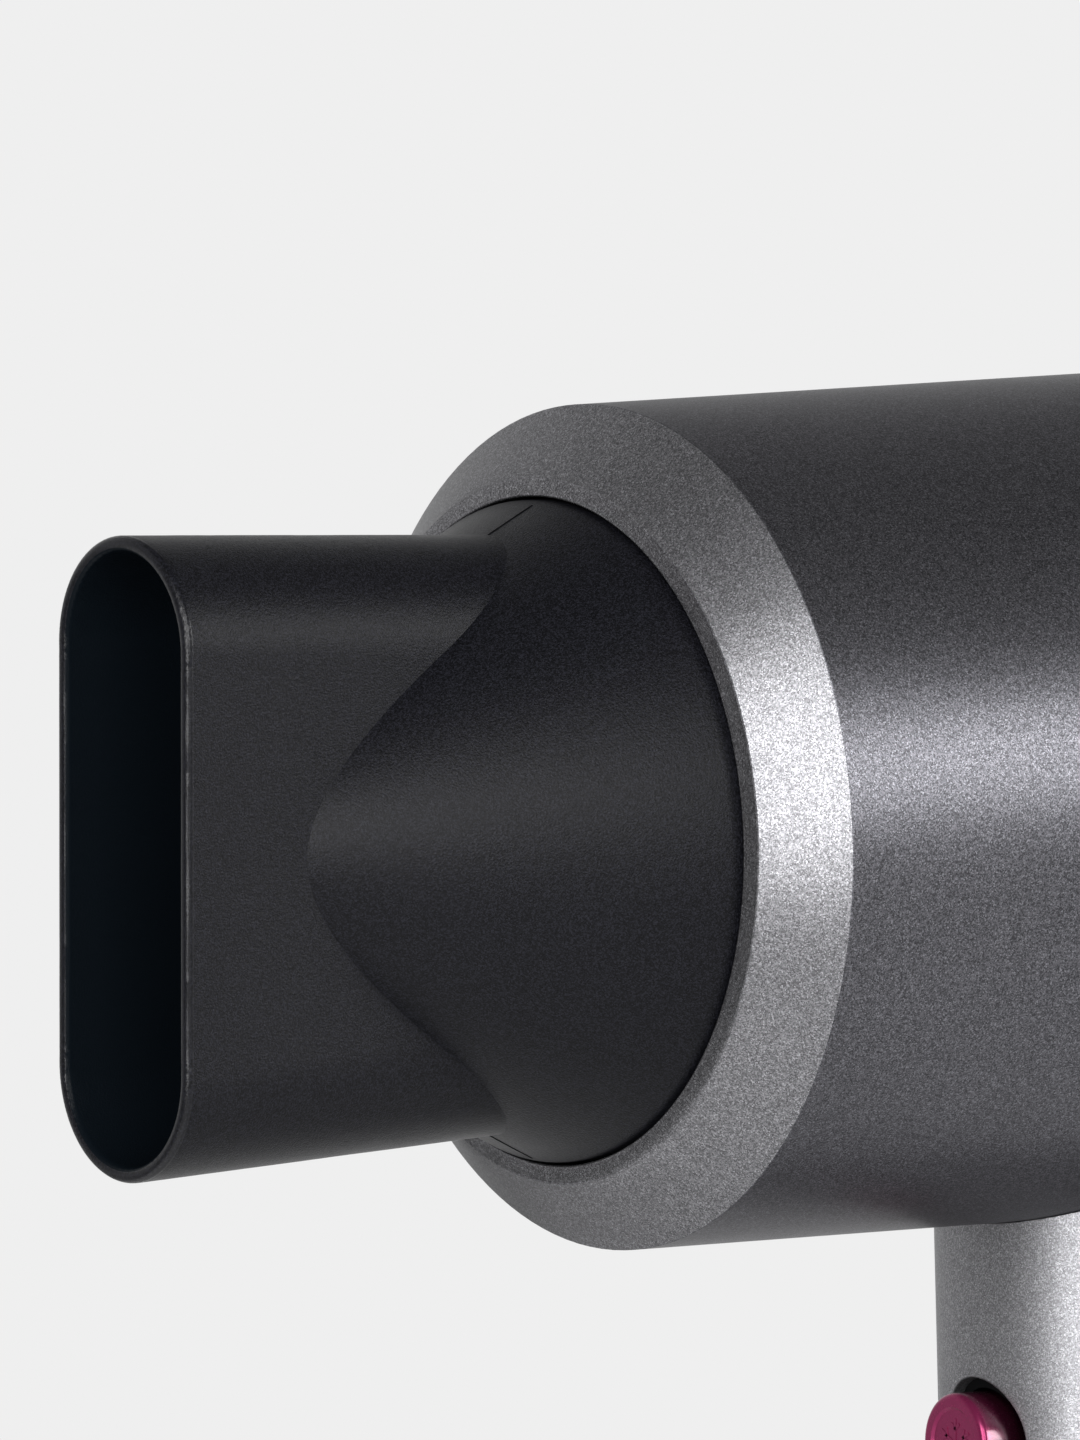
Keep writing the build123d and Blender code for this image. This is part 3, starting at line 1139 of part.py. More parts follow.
PIECES = {
    "barrel_shell": barrel_shell,
    "front_ring": front_ring,
    "outlet_collar": outlet_collar,
    "outlet_grille": outlet_grille,
    "nozzle": nozzle,
    "nozzle_seal": nozzle_seal,
    "mica_tube": mica_tube,
    "heater_cross": heater_cross,
    "heater_coil_high": heater_coil_high,
    "heater_coil_low": heater_coil_low,
    "heater_rivets": heater_rivets,
    "thermostat": thermostat,
    "thermal_fuse": thermal_fuse,
    "motor_duct": motor_duct,
    "motor_can": motor_can,
    "motor_end_bell": motor_end_bell,
    "motor_brushes": motor_brushes,
    "motor_magnets": motor_magnets,
    "motor_bushes": motor_bushes,
    "motor_shaft": motor_shaft,
    "armature_core": armature_core,
    "armature_windings": armature_windings,
    "commutator": commutator,
    "fan": fan,
    "rectifier_board": rectifier_board,
    "rectifier_diodes": rectifier_diodes,
    "rear_cap": rear_cap,
    "filter_frame": filter_frame,
    "filter_mesh": filter_mesh,
    "handle_front_shell": handle_front_shell,
    "handle_rear_shell": handle_rear_shell,
    "handle_screws": handle_screws,
    "switch_board": switch_board,
    "speed_switch": speed_switch,
    "heat_switch": heat_switch,
    "switch_bezel": switch_bezel,
    "speed_slider": speed_slider,
    "heat_slider": heat_slider,
    "cool_button": cool_button,
    "button_bezel": button_bezel,
    "cool_switch": cool_switch,
    "button_spring": button_spring,
    "handle_end_cap": handle_end_cap,
    "cord_gland": cord_gland,
    "cord_clamp": cord_clamp,
    "clamp_screws": clamp_screws,
    "lead_wires": lead_wires,
    "motor_leads": motor_leads,
}

for name, piece in PIECES.items():
    piece.part.label = name
    export_step(piece.part, f"parts/{name}.step")
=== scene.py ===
import json
import math

import bmesh
import bpy
from mathutils import Matrix, Vector


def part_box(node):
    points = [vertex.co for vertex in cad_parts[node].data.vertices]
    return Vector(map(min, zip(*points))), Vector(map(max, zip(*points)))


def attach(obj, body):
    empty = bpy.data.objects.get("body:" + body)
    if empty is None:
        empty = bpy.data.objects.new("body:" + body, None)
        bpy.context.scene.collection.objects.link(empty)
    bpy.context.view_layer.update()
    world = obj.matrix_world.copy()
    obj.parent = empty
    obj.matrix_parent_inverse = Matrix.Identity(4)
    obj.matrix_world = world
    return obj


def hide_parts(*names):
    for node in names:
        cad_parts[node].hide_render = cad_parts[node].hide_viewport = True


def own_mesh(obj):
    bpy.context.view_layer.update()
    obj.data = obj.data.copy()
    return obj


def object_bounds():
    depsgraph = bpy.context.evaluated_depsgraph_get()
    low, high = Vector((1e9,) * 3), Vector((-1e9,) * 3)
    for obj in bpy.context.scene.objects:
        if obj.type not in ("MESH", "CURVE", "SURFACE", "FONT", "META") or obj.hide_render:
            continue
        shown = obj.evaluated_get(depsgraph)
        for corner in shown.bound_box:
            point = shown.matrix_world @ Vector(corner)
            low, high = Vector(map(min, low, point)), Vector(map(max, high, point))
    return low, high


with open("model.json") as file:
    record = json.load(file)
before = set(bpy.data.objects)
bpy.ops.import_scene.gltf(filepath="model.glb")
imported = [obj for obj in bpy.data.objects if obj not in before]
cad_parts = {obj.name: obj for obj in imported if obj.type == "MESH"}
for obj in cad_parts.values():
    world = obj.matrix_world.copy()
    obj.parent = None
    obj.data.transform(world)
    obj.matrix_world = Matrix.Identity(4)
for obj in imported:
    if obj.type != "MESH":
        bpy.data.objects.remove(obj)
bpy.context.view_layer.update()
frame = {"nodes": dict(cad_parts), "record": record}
nodes = frame["nodes"]
record = frame["record"]
scene = bpy.context.scene
scene.view_settings.view_transform = "Standard"

MM = 0.001
AXIS_Z = 0.100  # height of the barrel's axis
FRONT_X = 0.061  # front edge of the barrel
TIP_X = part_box("nozzle")[1].x


# Steps that the finishes share

def shader(name, constants):
    """A material whose constant values sit on the Principled shader's own sockets."""
    material = bpy.data.materials.new(name)
    material.use_nodes = True
    principled = material.node_tree.nodes["Principled BSDF"]
    for socket, value in constants.items():
        principled.inputs[socket].default_value = value
    return material, material.node_tree, principled


def own_place(tree):
    """A point's place in the piece's own Object coordinates, in metres."""
    return tree.nodes.new("ShaderNodeTexCoord").outputs["Object"]


def along_barrel(tree):
    """A point's place along the barrel's axis."""
    places = tree.nodes.new("ShaderNodeSeparateXYZ")
    tree.links.new(own_place(tree), places.inputs["Vector"])
    return places.outputs["X"]


def texture(tree, kind, stretch=None, **settings):
    """A texture on the piece's own Object coordinates, finer along an axis that stretch enlarges."""
    place_on_piece = own_place(tree)
    if stretch:
        mapping = tree.nodes.new("ShaderNodeMapping")
        mapping.inputs["Scale"].default_value = stretch
        tree.links.new(place_on_piece, mapping.inputs["Vector"])
        place_on_piece = mapping.outputs["Vector"]
    node = tree.nodes.new(kind)
    for socket, value in settings.items():
        node.inputs[socket].default_value = value
    tree.links.new(place_on_piece, node.inputs["Vector"])
    return node


def cell_values(tree, cells):
    """Three random values for each cell of a Voronoi texture."""
    split = tree.nodes.new("ShaderNodeSeparateColor")
    tree.links.new(cells.outputs["Color"], split.inputs["Color"])
    return split.outputs


def number_step(tree, operation, source, value):
    """One step of arithmetic on a number."""
    node = tree.nodes.new("ShaderNodeMath")
    node.operation = operation
    node.inputs[1].default_value = value
    tree.links.new(source, node.inputs[0])
    return node.outputs["Value"]


def vector_step(tree, operation, source, value=(0.0, 0.0, 0.0)):
    """One step of arithmetic on a vector; a length and a dot product come out as a number."""
    node = tree.nodes.new("ShaderNodeVectorMath")
    node.operation = operation
    node.inputs[1].default_value = value
    tree.links.new(source, node.inputs[0])
    return node.outputs["Value" if operation in ("LENGTH", "DOT_PRODUCT") else "Vector"]


def spread(tree, source, low, high, start=0.0, end=1.0):
    """Map the range from start to end onto the range from low to high."""
    node = tree.nodes.new("ShaderNodeMapRange")
    node.inputs["From Min"].default_value = start
    node.inputs["From Max"].default_value = end
    node.inputs["To Min"].default_value = low
    node.inputs["To Max"].default_value = high
    tree.links.new(source, node.inputs["Value"])
    return node.outputs["Result"]


def ramp(tree, source, stops):
    """Colour ramp through (position, colour) stops."""
    node = tree.nodes.new("ShaderNodeValToRGB")
    elements = node.color_ramp.elements
    while len(elements) < len(stops):
        elements.new(0.5)
    for element, (position, colour) in zip(elements, stops):
        element.position = position
        element.color = (*colour, 1.0)
    tree.links.new(source, node.inputs["Fac"])
    return node.outputs["Color"]


def bump(tree, principled, height, strength, distance):
    """Tilt the surface by a map of heights."""
    node = tree.nodes.new("ShaderNodeBump")
    node.inputs["Strength"].default_value = strength
    node.inputs["Distance"].default_value = distance
    tree.links.new(height, node.inputs["Height"])
    tree.links.new(node.outputs["Normal"], principled.inputs["Normal"])
    return node


# Where a Mix node keeps its colour sockets
COLOUR_A = 6
COLOUR_B = 7
COLOUR_RESULT = 2


def swap_number(tree, mask, source, value):
    """The source, or a set value where the mask is 1."""
    node = tree.nodes.new("ShaderNodeMix")
    node.inputs["B"].default_value = value
    tree.links.new(mask, node.inputs["Factor"])
    tree.links.new(source, node.inputs["A"])
    return node.outputs["Result"]


def swap_colour(tree, mask, source, colour):
    """The source, or a set colour where the mask is 1."""
    node = tree.nodes.new("ShaderNodeMix")
    node.data_type = "RGBA"
    node.inputs[COLOUR_B].default_value = (*colour, 1.0)
    tree.links.new(mask, node.inputs["Factor"])
    tree.links.new(source, node.inputs[COLOUR_A])
    return node.outputs[COLOUR_RESULT]


def darker_colour(tree, first, second):
    """The darker of two colours."""
    node = tree.nodes.new("ShaderNodeMix")
    node.data_type = "RGBA"
    node.blend_type = "DARKEN"
    node.inputs["Factor"].default_value = 1.0
    tree.links.new(first, node.inputs[COLOUR_A])
    tree.links.new(second, node.inputs[COLOUR_B])
    return node.outputs[COLOUR_RESULT]


def swap_shader(tree, mask, plain, other):
    """The plain shader, or the other one where the mask is 1."""
    node = tree.nodes.new("ShaderNodeMixShader")
    tree.links.new(mask, node.inputs["Fac"])
    tree.links.new(plain, node.inputs[1])
    tree.links.new(other, node.inputs[2])
    return node.outputs["Shader"]


def grey(level):
    """A neutral colour."""
    return (level, level, level)


def tint(colour, factor):
    """The colour made darker or lighter by a factor."""
    return tuple(min(1.0, channel * factor) for channel in colour)


def shades(colour, factors):
    """Ramp stops of one colour, from (position, factor) pairs."""
    return [(position, tint(colour, factor)) for position, factor in factors]


# Finishes: a swing is how far the roughness varies either way

FLAKE_SCALE = 8500.0
FLAKE_GAINS = ((0.0, -0.45), (0.5, -0.08), (0.9, 0.35), (1.0, 0.90))  # share of flakes, gain in light
FLAKE_TILT = 0.28
FLAKE_DEPTH = 0.03 * MM
HAZE_SCALE = 45.0
HAZE_SWING = 0.04
RING_LIP_R = 33.3 * MM  # outside of the front ring's lip
LIP_TILT = 0.05
LIP_ROUGHNESS = 0.20


def within(tree, radius):
    """1 inside the given radius about the barrel's axis, 0 outside it."""
    from_axis = vector_step(tree, "SUBTRACT", own_place(tree), (0.0, 0.0, AXIS_Z))
    across = vector_step(tree, "MULTIPLY", from_axis, (0.0, 1.0, 1.0))
    return number_step(tree, "LESS_THAN", vector_step(tree, "LENGTH", across), radius)


def flake_paint(name, colour, roughness, sparkle, edge, lip=None):
    """Satin metallic paint: fine tilted flakes, dull at a grazing angle, polished inside the lip."""
    material, tree, principled = shader(
        name, {"Metallic": 0.85, "Specular IOR Level": 0.3, "Specular Tint": (*grey(edge), 1.0)}
    )
    glint = cell_values(tree, texture(tree, "ShaderNodeTexVoronoi", Scale=FLAKE_SCALE))[0]
    stops = shades(colour, [(share, 1.0 + gain * sparkle) for share, gain in FLAKE_GAINS])
    tree.links.new(ramp(tree, glint, stops), principled.inputs["Base Color"])
    haze = texture(tree, "ShaderNodeTexNoise", Scale=HAZE_SCALE, Detail=4.0)
    sheen = spread(tree, haze.outputs[0], roughness - HAZE_SWING, roughness + HAZE_SWING)
    tilt = bump(tree, principled, glint, FLAKE_TILT * sparkle, FLAKE_DEPTH)
    if lip:
        polished = within(tree, lip)
        sheen = swap_number(tree, polished, sheen, LIP_ROUGHNESS)
        strength = spread(tree, polished, FLAKE_TILT * sparkle, LIP_TILT)
        tree.links.new(strength, tilt.inputs["Strength"])
    tree.links.new(sheen, principled.inputs["Roughness"])
    return material


CLOUD_SCALE = 60.0
CLOUD_SHADES = ((0.3, 0.85), (0.7, 1.15))
GRAIN_SWING = 0.08
GRAIN_DEPTH = 0.06 * MM


def moulded(name, colour, roughness, grain=2600.0, depth=0.12, gloss=0.5):
    """Moulded plastic: a fine spark-eroded grain and a slightly uneven colour."""
    material, tree, principled = shader(name, {"Specular IOR Level": gloss})
    fine = texture(tree, "ShaderNodeTexNoise", Scale=grain, Detail=3.0)
    clouds = texture(tree, "ShaderNodeTexNoise", Scale=CLOUD_SCALE, Detail=4.0)
    colours = ramp(tree, clouds.outputs[0], shades(colour, CLOUD_SHADES))
    sheen = spread(tree, fine.outputs[0], roughness - GRAIN_SWING, roughness + GRAIN_SWING)
    tree.links.new(colours, principled.inputs["Base Color"])
    tree.links.new(sheen, principled.inputs["Roughness"])
    bump(tree, principled, fine.outputs[0], depth, GRAIN_DEPTH)
    return material


SLOT_STRAIGHT = 20.0 * MM  # half the straight part of the slot's sides, at the tip
SLOT_TAPER = 0.04  # loss of that for each mm back from the tip
SLOT_R = 9.35 * MM  # between the slot's wall and the rim's face
# Painted shade: a darker, bluish black on the walls inside the slot, where shade falls
SLOT_PAINTED_SHADE = (0.0028, 0.0044, 0.0063)
SLOT_GLOSS = 0.05
RIM_BAND = 0.72 * MM  # rounded edge at the nozzle's tip
RIM_GLOSS = 0.30
RIM_ROUGHNESS = 0.30
RIM_TILT = 0.3
NOZZLE_SPECK_SCALE = 8300.0
NOZZLE_SPECKS = ((0.0, 0.35), (0.5, 0.9), (1.0, 2.6))
NOZZLE_GRAIN_SCALE = 5200.0
NOZZLE_GRAIN_DEPTH = 0.07 * MM
NOZZLE_TILT = 0.8
NOZZLE_GLOSS = 0.15


def inside_slot(tree):
    """1 on the walls inside the nozzle's slot, 0 on its outside."""
    from_tip = vector_step(tree, "SUBTRACT", own_place(tree), (TIP_X, 0.0, AXIS_Z))
    folded = vector_step(tree, "ABSOLUTE", from_tip)
    height = vector_step(tree, "DOT_PRODUCT", folded, (SLOT_TAPER, 0.0, 1.0))
    past_straight = number_step(tree, "SUBTRACT", height, SLOT_STRAIGHT)
    up_round_end = number_step(tree, "MAXIMUM", past_straight, 0.0)
    split = tree.nodes.new("ShaderNodeSeparateXYZ")
    across = tree.nodes.new("ShaderNodeCombineXYZ")
    tree.links.new(folded, split.inputs["Vector"])
    tree.links.new(split.outputs["Y"], across.inputs["X"])
    tree.links.new(up_round_end, across.inputs["Y"])
    reach = vector_step(tree, "LENGTH", across.outputs["Vector"])
    return number_step(tree, "LESS_THAN", reach, SLOT_R)


def grained_black(name, colour, roughness):
    """Matt black moulding: an even grain outside, smoother on the rim, and plain in the slot, whose
    darker colour is painted shade.
    """
    material, tree, principled = shader(name, {})
    inside = inside_slot(tree)
    rim = number_step(tree, "GREATER_THAN", along_barrel(tree), TIP_X - RIM_BAND)
    cells = texture(tree, "ShaderNodeTexVoronoi", Scale=NOZZLE_SPECK_SCALE)
    specks = ramp(tree, cell_values(tree, cells)[0], shades(colour, NOZZLE_SPECKS))
    gloss = spread(tree, rim, NOZZLE_GLOSS, RIM_GLOSS)
    fine = texture(tree, "ShaderNodeTexNoise", Scale=NOZZLE_GRAIN_SCALE, Detail=3.0)
    sheen = spread(tree, fine.outputs[0], roughness - GRAIN_SWING, roughness + GRAIN_SWING)
    sockets = principled.inputs
    tree.links.new(swap_colour(tree, inside, specks, SLOT_PAINTED_SHADE), sockets["Base Color"])
    tree.links.new(swap_number(tree, inside, gloss, SLOT_GLOSS), sockets["Specular IOR Level"])
    tree.links.new(swap_number(tree, rim, sheen, RIM_ROUGHNESS), sockets["Roughness"])
    tilt = bump(tree, principled, fine.outputs[0], NOZZLE_TILT, NOZZLE_GRAIN_DEPTH)
    tree.links.new(spread(tree, rim, NOZZLE_TILT, RIM_TILT), tilt.inputs["Strength"])
    return material


BUTTON_SIDE = 5.0 * MM  # depth below the face over which painted shade darkens the button's side
# Painted shade on the button's side, from the deep end of that side, 0, to the face, 1
BUTTON_PAINTED_SHADE = ((0.10, 0.05), (0.45, 0.15), (0.78, 0.50), (0.90, 0.95))
BUTTON_COAT = ((0.85, grey(0.9)), (0.93, grey(0.0)))
BUTTON_GRAIN_SCALE = 1800.0
BUTTON_TILT = 0.03


def coated_button(name, colour, roughness):
    """Coloured gloss, clear-coated down the side that goes into the handle, with painted shade
    darkening that side.
    """
    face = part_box("cool_button")[1].x
    material, tree, principled = shader(
        name, {"Metallic": 0.6, "Specular IOR Level": 0.4, "Coat Roughness": 0.12}
    )
    height = spread(tree, along_barrel(tree), 0.0, 1.0, start=face - BUTTON_SIDE, end=face)
    # Painted shade: the colour darkens down the side towards the handle
    colours = ramp(tree, height, shades(colour, BUTTON_PAINTED_SHADE))
    fine = texture(tree, "ShaderNodeTexNoise", Scale=BUTTON_GRAIN_SCALE, Detail=3.0)
    sheen = spread(tree, fine.outputs[0], roughness - GRAIN_SWING, roughness + GRAIN_SWING)
    tree.links.new(colours, principled.inputs["Base Color"])
    tree.links.new(ramp(tree, height, BUTTON_COAT), principled.inputs["Coat Weight"])
    tree.links.new(sheen, principled.inputs["Roughness"])
    bump(tree, principled, fine.outputs[0], BUTTON_TILT, GRAIN_DEPTH)
    return material


TOOL_MARK_SCALE = 900.0
TOOL_MARK_SHADES = ((0.3, 0.8), (0.7, 1.1))
TOOL_MARK_SMOOTHER = 0.08  # how far the roughness goes down, and up
TOOL_MARK_ROUGHER = 0.10
TOOL_MARK_TILT = 0.06
TOOL_MARK_DEPTH = 0.03 * MM


def worked_metal(name, colour, roughness, stretch=None):
    """Plain metal with fine tool marks; stretch turns them into layers across an axis."""
    material, tree, principled = shader(name, {"Metallic": 1.0})
    marks = texture(tree, "ShaderNodeTexNoise", stretch, Scale=TOOL_MARK_SCALE, Detail=5.0)
    colours = ramp(tree, marks.outputs[0], shades(colour, TOOL_MARK_SHADES))
    smoothest = roughness - TOOL_MARK_SMOOTHER
    roughest = roughness + TOOL_MARK_ROUGHER
    sheen = spread(tree, marks.outputs[0], smoothest, roughest)
    tree.links.new(colours, principled.inputs["Base Color"])
    tree.links.new(sheen, principled.inputs["Roughness"])
    bump(tree, principled, marks.outputs[0], TOOL_MARK_TILT, TOOL_MARK_DEPTH)
    return material


MICA_SCALE = 420.0
MICA_COLOURS = ((0.0, (0.34, 0.27, 0.17)), (0.6, (0.50, 0.41, 0.27)), (1.0, (0.68, 0.60, 0.45)))
MICA_SMOOTHEST = 0.3
MICA_ROUGHEST = 0.55
MICA_TILT = 0.1
MICA_DEPTH = 0.1 * MM


def mica_board(name):
    """Pressed mica: silvery tan with pale scales."""
    material, tree, principled = shader(name, {"Specular IOR Level": 0.6})
    scales = texture(tree, "ShaderNodeTexVoronoi", Scale=MICA_SCALE)
    values = cell_values(tree, scales)
    tree.links.new(ramp(tree, values[0], MICA_COLOURS), principled.inputs["Base Color"])
    sheen = spread(tree, values[1], MICA_SMOOTHEST, MICA_ROUGHEST)
    tree.links.new(sheen, principled.inputs["Roughness"])
    bump(tree, principled, scales.outputs["Distance"], MICA_TILT, MICA_DEPTH)
    return material


finishes = {
    "barrel_paint": flake_paint(
        "barrel_graphite_paint", (0.099, 0.098, 0.108), roughness=0.37, sparkle=1.4, edge=0.55
    ),
    "ring_paint": flake_paint(
        "ring_silver_paint",
        (0.188, 0.187, 0.197),
        roughness=0.355,
        sparkle=1.25,
        edge=0.6,
        lip=RING_LIP_R,
    ),
    "handle_paint": flake_paint(
        "handle_silver_paint", (0.298, 0.297, 0.311), roughness=0.38, sparkle=0.9, edge=0.6
    ),
    "nozzle_black": grained_black("nozzle_matt_black", (0.0046, 0.0047, 0.0064), roughness=0.42),
    "outlet_black": moulded("outlet_black", (0.010, 0.010, 0.011), roughness=0.6),
    "trim_black": moulded("trim_gloss_black", (0.008, 0.008, 0.009), roughness=0.22, depth=0.03),
    "button_burgundy": coated_button("button_burgundy", (0.240, 0.022, 0.085), roughness=0.26),
    "slider_grey": moulded("slider_grey", (0.055, 0.055, 0.060), roughness=0.45),
    "rubber_black": moulded("rubber_black", (0.012, 0.012, 0.012), roughness=0.75, grain=1500.0),
    "mica": mica_board("mica_board"),
    "heater_wire": worked_metal("heater_ribbon", (0.36, 0.33, 0.30), roughness=0.4),
    "steel": worked_metal("plated_steel", (0.48, 0.48, 0.49), roughness=0.32),
    "spring_steel": worked_metal("spring_steel", (0.55, 0.55, 0.56), roughness=0.25),
    "brass": worked_metal("brass", (0.60, 0.42, 0.16), roughness=0.3),
    "copper": worked_metal("copper", (0.60, 0.26, 0.12), roughness=0.32),
    "iron_core": worked_metal(
        "core_laminations", (0.18, 0.18, 0.19), roughness=0.45, stretch=(12.0, 0.3, 0.3)
    ),
    "magnet": moulded("ferrite", (0.030, 0.030, 0.033), roughness=0.55),
    "carbon": moulded("carbon", (0.018, 0.018, 0.018), roughness=0.6),
    "duct_white": moulded("duct_ivory", (0.62, 0.60, 0.55), roughness=0.5),
    "fan_black": moulded("fan_black", (0.014, 0.014, 0.016), roughness=0.45),
    "board_green": moulded(
        "board_green", (0.016, 0.085, 0.038), roughness=0.35, grain=1200.0, depth=0.05
    ),
    "switch_black": moulded("switch_black", (0.012, 0.012, 0.012), roughness=0.5),
    "diode_black": moulded("diode_black", (0.010, 0.010, 0.010), roughness=0.45),
    "wire_white": moulded("wire_white", (0.60, 0.60, 0.58), roughness=0.5),
    "wire_red": moulded("wire_red", (0.27, 0.012, 0.010), roughness=0.45),
    "filter_mesh": moulded("filter_mesh", (0.022, 0.022, 0.024), roughness=0.6),
}

# Finishes of single pieces: the ring round the button, dulled and darkened as painted shade of its
# recess; the mould line, darkened as painted shade of its groove; and the numbers
# Painted shade: the black collet ring made near-black and dull for the shade in the button's recess
collet_black_and_shade = moulded("collet_black_painted_shade", (0.0020, 0.0020, 0.0022), roughness=0.7, gloss=0.08)
# Painted shade: the mould line is real, and its near-black stands for the shade of its groove
parting_line_and_shade = moulded("parting_line_painted_shade", (0.0015, 0.0016, 0.0020), roughness=0.8, gloss=0.1)
number_ink = moulded("number_print_white", (0.62, 0.62, 0.60), roughness=0.45, grain=5000.0, depth=0.04)

slot_of = {part["node"]: part["material_slot"] for part in record["subparts"]}
body_of = {}
for body, members in record["behaviour"]["bodies"].items():
    for member in members:
        body_of[member] = body

for name, node in nodes.items():
    node.data.materials.clear()
    node.data.materials.append(collet_black_and_shade if name == "button_bezel" else finishes[slot_of[name]])


# Visible shells: merged copies of the CAD meshes that shade smooth between their sharp edges

MERGE = 0.002 * MM
SHARP_ANGLE = math.radians(14.0)


def soften(node):
    """A merged copy of a CAD node that shades smooth up to its sharp edges."""
    piece = bpy.data.objects.new("soft_" + node, nodes[node].data.copy())
    scene.collection.objects.link(piece)
    mesh = bmesh.new()
    mesh.from_mesh(piece.data)
    bmesh.ops.remove_doubles(mesh, verts=mesh.verts, dist=MERGE)
    for face in mesh.faces:
        face.smooth = True
    for edge in mesh.edges:
        edge.smooth = len(edge.link_faces) == 2 and edge.calc_face_angle() < SHARP_ANGLE
    mesh.to_mesh(piece.data)
    mesh.free()
    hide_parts(node)
    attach(piece, body_of[node])
    return piece


for name in (
    "barrel_shell",
    "front_ring",
    "outlet_collar",
    "outlet_grille",
    "nozzle",
    "rear_cap",
    "handle_front_shell",
    "handle_rear_shell",
    "handle_end_cap",
    "cord_gland",
    "cool_button",
    "button_bezel",
    "switch_bezel",
    "speed_slider",
    "heat_slider",
    "fan",
    "motor_duct",
):
    soften(name)


def spring_under_button():
    """The button's spring: a merged, smooth-shaded copy with a mesh of its own."""
    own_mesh(soften("button_spring"))


spring_under_button()


# Small details on the moulded parts

def place(mesh, name, body, finish):
    """Turn a bmesh into a piece of the model."""
    bmesh.ops.recalc_face_normals(mesh, faces=mesh.faces)
    data = bpy.data.meshes.new(name)
    mesh.to_mesh(data)
    mesh.free()
    data.materials.append(finish)
    piece = bpy.data.objects.new(name, data)
    scene.collection.objects.link(piece)
    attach(piece, body)


# Arc of the nozzle's cone in the mirror plane: its centre from the barrel's front and axis
ARC_X = -75.05 * MM
ARC_Z = -143.52 * MM
ARC_R = 193.25 * MM
LINE_FROM = math.radians(64.50)  # on the rounded rim
LINE_TO = math.radians(62.80)  # where the slot tube starts
LINE_STEPS = 6
LINE_WIDTH = 0.14 * MM
LINE_PROUD = 0.05 * MM
LINE_SUNK = 0.30 * MM


def parting_line():
    """Fine mould parting line along the top and the bottom of the nozzle's cone, darker than the nozzle
    as painted shade of its groove.
    """
    mesh = bmesh.new()
    corners = []
    for depth, side in ((-LINE_SUNK, -1), (-LINE_SUNK, 1), (LINE_PROUD, 1), (LINE_PROUD, -1)):
        x = FRONT_X + ARC_X + (ARC_R + depth) * math.cos(LINE_FROM)
        z = ARC_Z + (ARC_R + depth) * math.sin(LINE_FROM)
        corners.append(mesh.verts.new((x, side * LINE_WIDTH / 2, z)))
    mesh.faces.new(corners)
    bmesh.ops.spin(
        mesh,
        geom=mesh.verts[:] + mesh.edges[:] + mesh.faces[:],
        cent=(FRONT_X + ARC_X, 0.0, ARC_Z),
        axis=(0.0, 1.0, 0.0),
        angle=LINE_FROM - LINE_TO,
        steps=LINE_STEPS,
    )
    upper = mesh.verts[:] + mesh.edges[:] + mesh.faces[:]
    lower = bmesh.ops.duplicate(mesh, geom=upper)["geom"]
    turned = [item for item in lower if isinstance(item, bmesh.types.BMVert)]
    half_turn = Matrix.Rotation(math.pi, 3, "X")
    bmesh.ops.rotate(mesh, verts=turned, cent=(0.0, 0.0, 0.0), matrix=half_turn)
    bmesh.ops.translate(mesh, verts=mesh.verts, vec=(0.0, 0.0, AXIS_Z))
    place(mesh, "nozzle_parting_line", "nozzle", parting_line_and_shade)


DISH_DEPTH = 0.25 * MM  # of the hollow in the button's face
MARK_R = 2.5 * MM
MARK_ARMS = 6
MARK_BAR = 0.32 * MM
MARK_RISE = 0.06 * MM
MARK_SUNK = 0.05 * MM
BRANCH_AT = 1.45 * MM  # along an arm
BRANCH_LENGTH = 0.85 * MM
BRANCH_TURN = math.radians(50)


def bar(mesh, start, length, turn):
    """One raised bar in the plane of the button's face, from start along the given turn."""
    made = bmesh.ops.create_cube(mesh, size=1.0)["verts"]
    bmesh.ops.scale(mesh, verts=made, vec=(MARK_RISE + MARK_SUNK, MARK_BAR, length))
    bmesh.ops.translate(mesh, verts=made, vec=((MARK_RISE - MARK_SUNK) / 2, 0.0, length / 2))
    bmesh.ops.rotate(mesh, verts=made, cent=(0.0, 0.0, 0.0), matrix=Matrix.Rotation(turn, 3, "X"))
    bmesh.ops.translate(mesh, verts=made, vec=start)


def cold_mark():
    """Raised snow crystal on the button's face."""
    low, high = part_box("cool_button")
    mesh = bmesh.new()
    for arm in range(MARK_ARMS):
        turn = math.radians(360 / MARK_ARMS * arm)
        outward = Vector((0.0, -math.sin(turn), math.cos(turn)))
        bar(mesh, outward * MARK_BAR, MARK_R - MARK_BAR, turn)
        for side in (1, -1):
            bar(mesh, outward * BRANCH_AT, BRANCH_LENGTH, turn + side * BRANCH_TURN)
    middle_z = (low.z + high.z) / 2
    bmesh.ops.translate(mesh, verts=mesh.verts, vec=(high.x - DISH_DEPTH, 0.0, middle_z))
    place(mesh, "button_cold_mark", "cool_button", finishes["button_burgundy"])


HANDLE_TOP_R = 17.8 * MM  # at the underside of the barrel
HANDLE_END_R = 14.9 * MM
HANDLE_TOP_Z = 60.0 * MM
HANDLE_END_Z = -58.0 * MM
HANDLE_LEAN = math.atan2(HANDLE_TOP_R - HANDLE_END_R, HANDLE_TOP_Z - HANDLE_END_Z)
SLIDER_TRAVEL = 8.0 * MM
SLIDER_STOPS = 3
NUMBER_SIZE = 3.2 * MM
NUMBER_THICK = 0.06 * MM
NUMBER_MERGE = 0.001 * MM
NUMBER_TURN = math.radians(29)  # round the handle from its front line


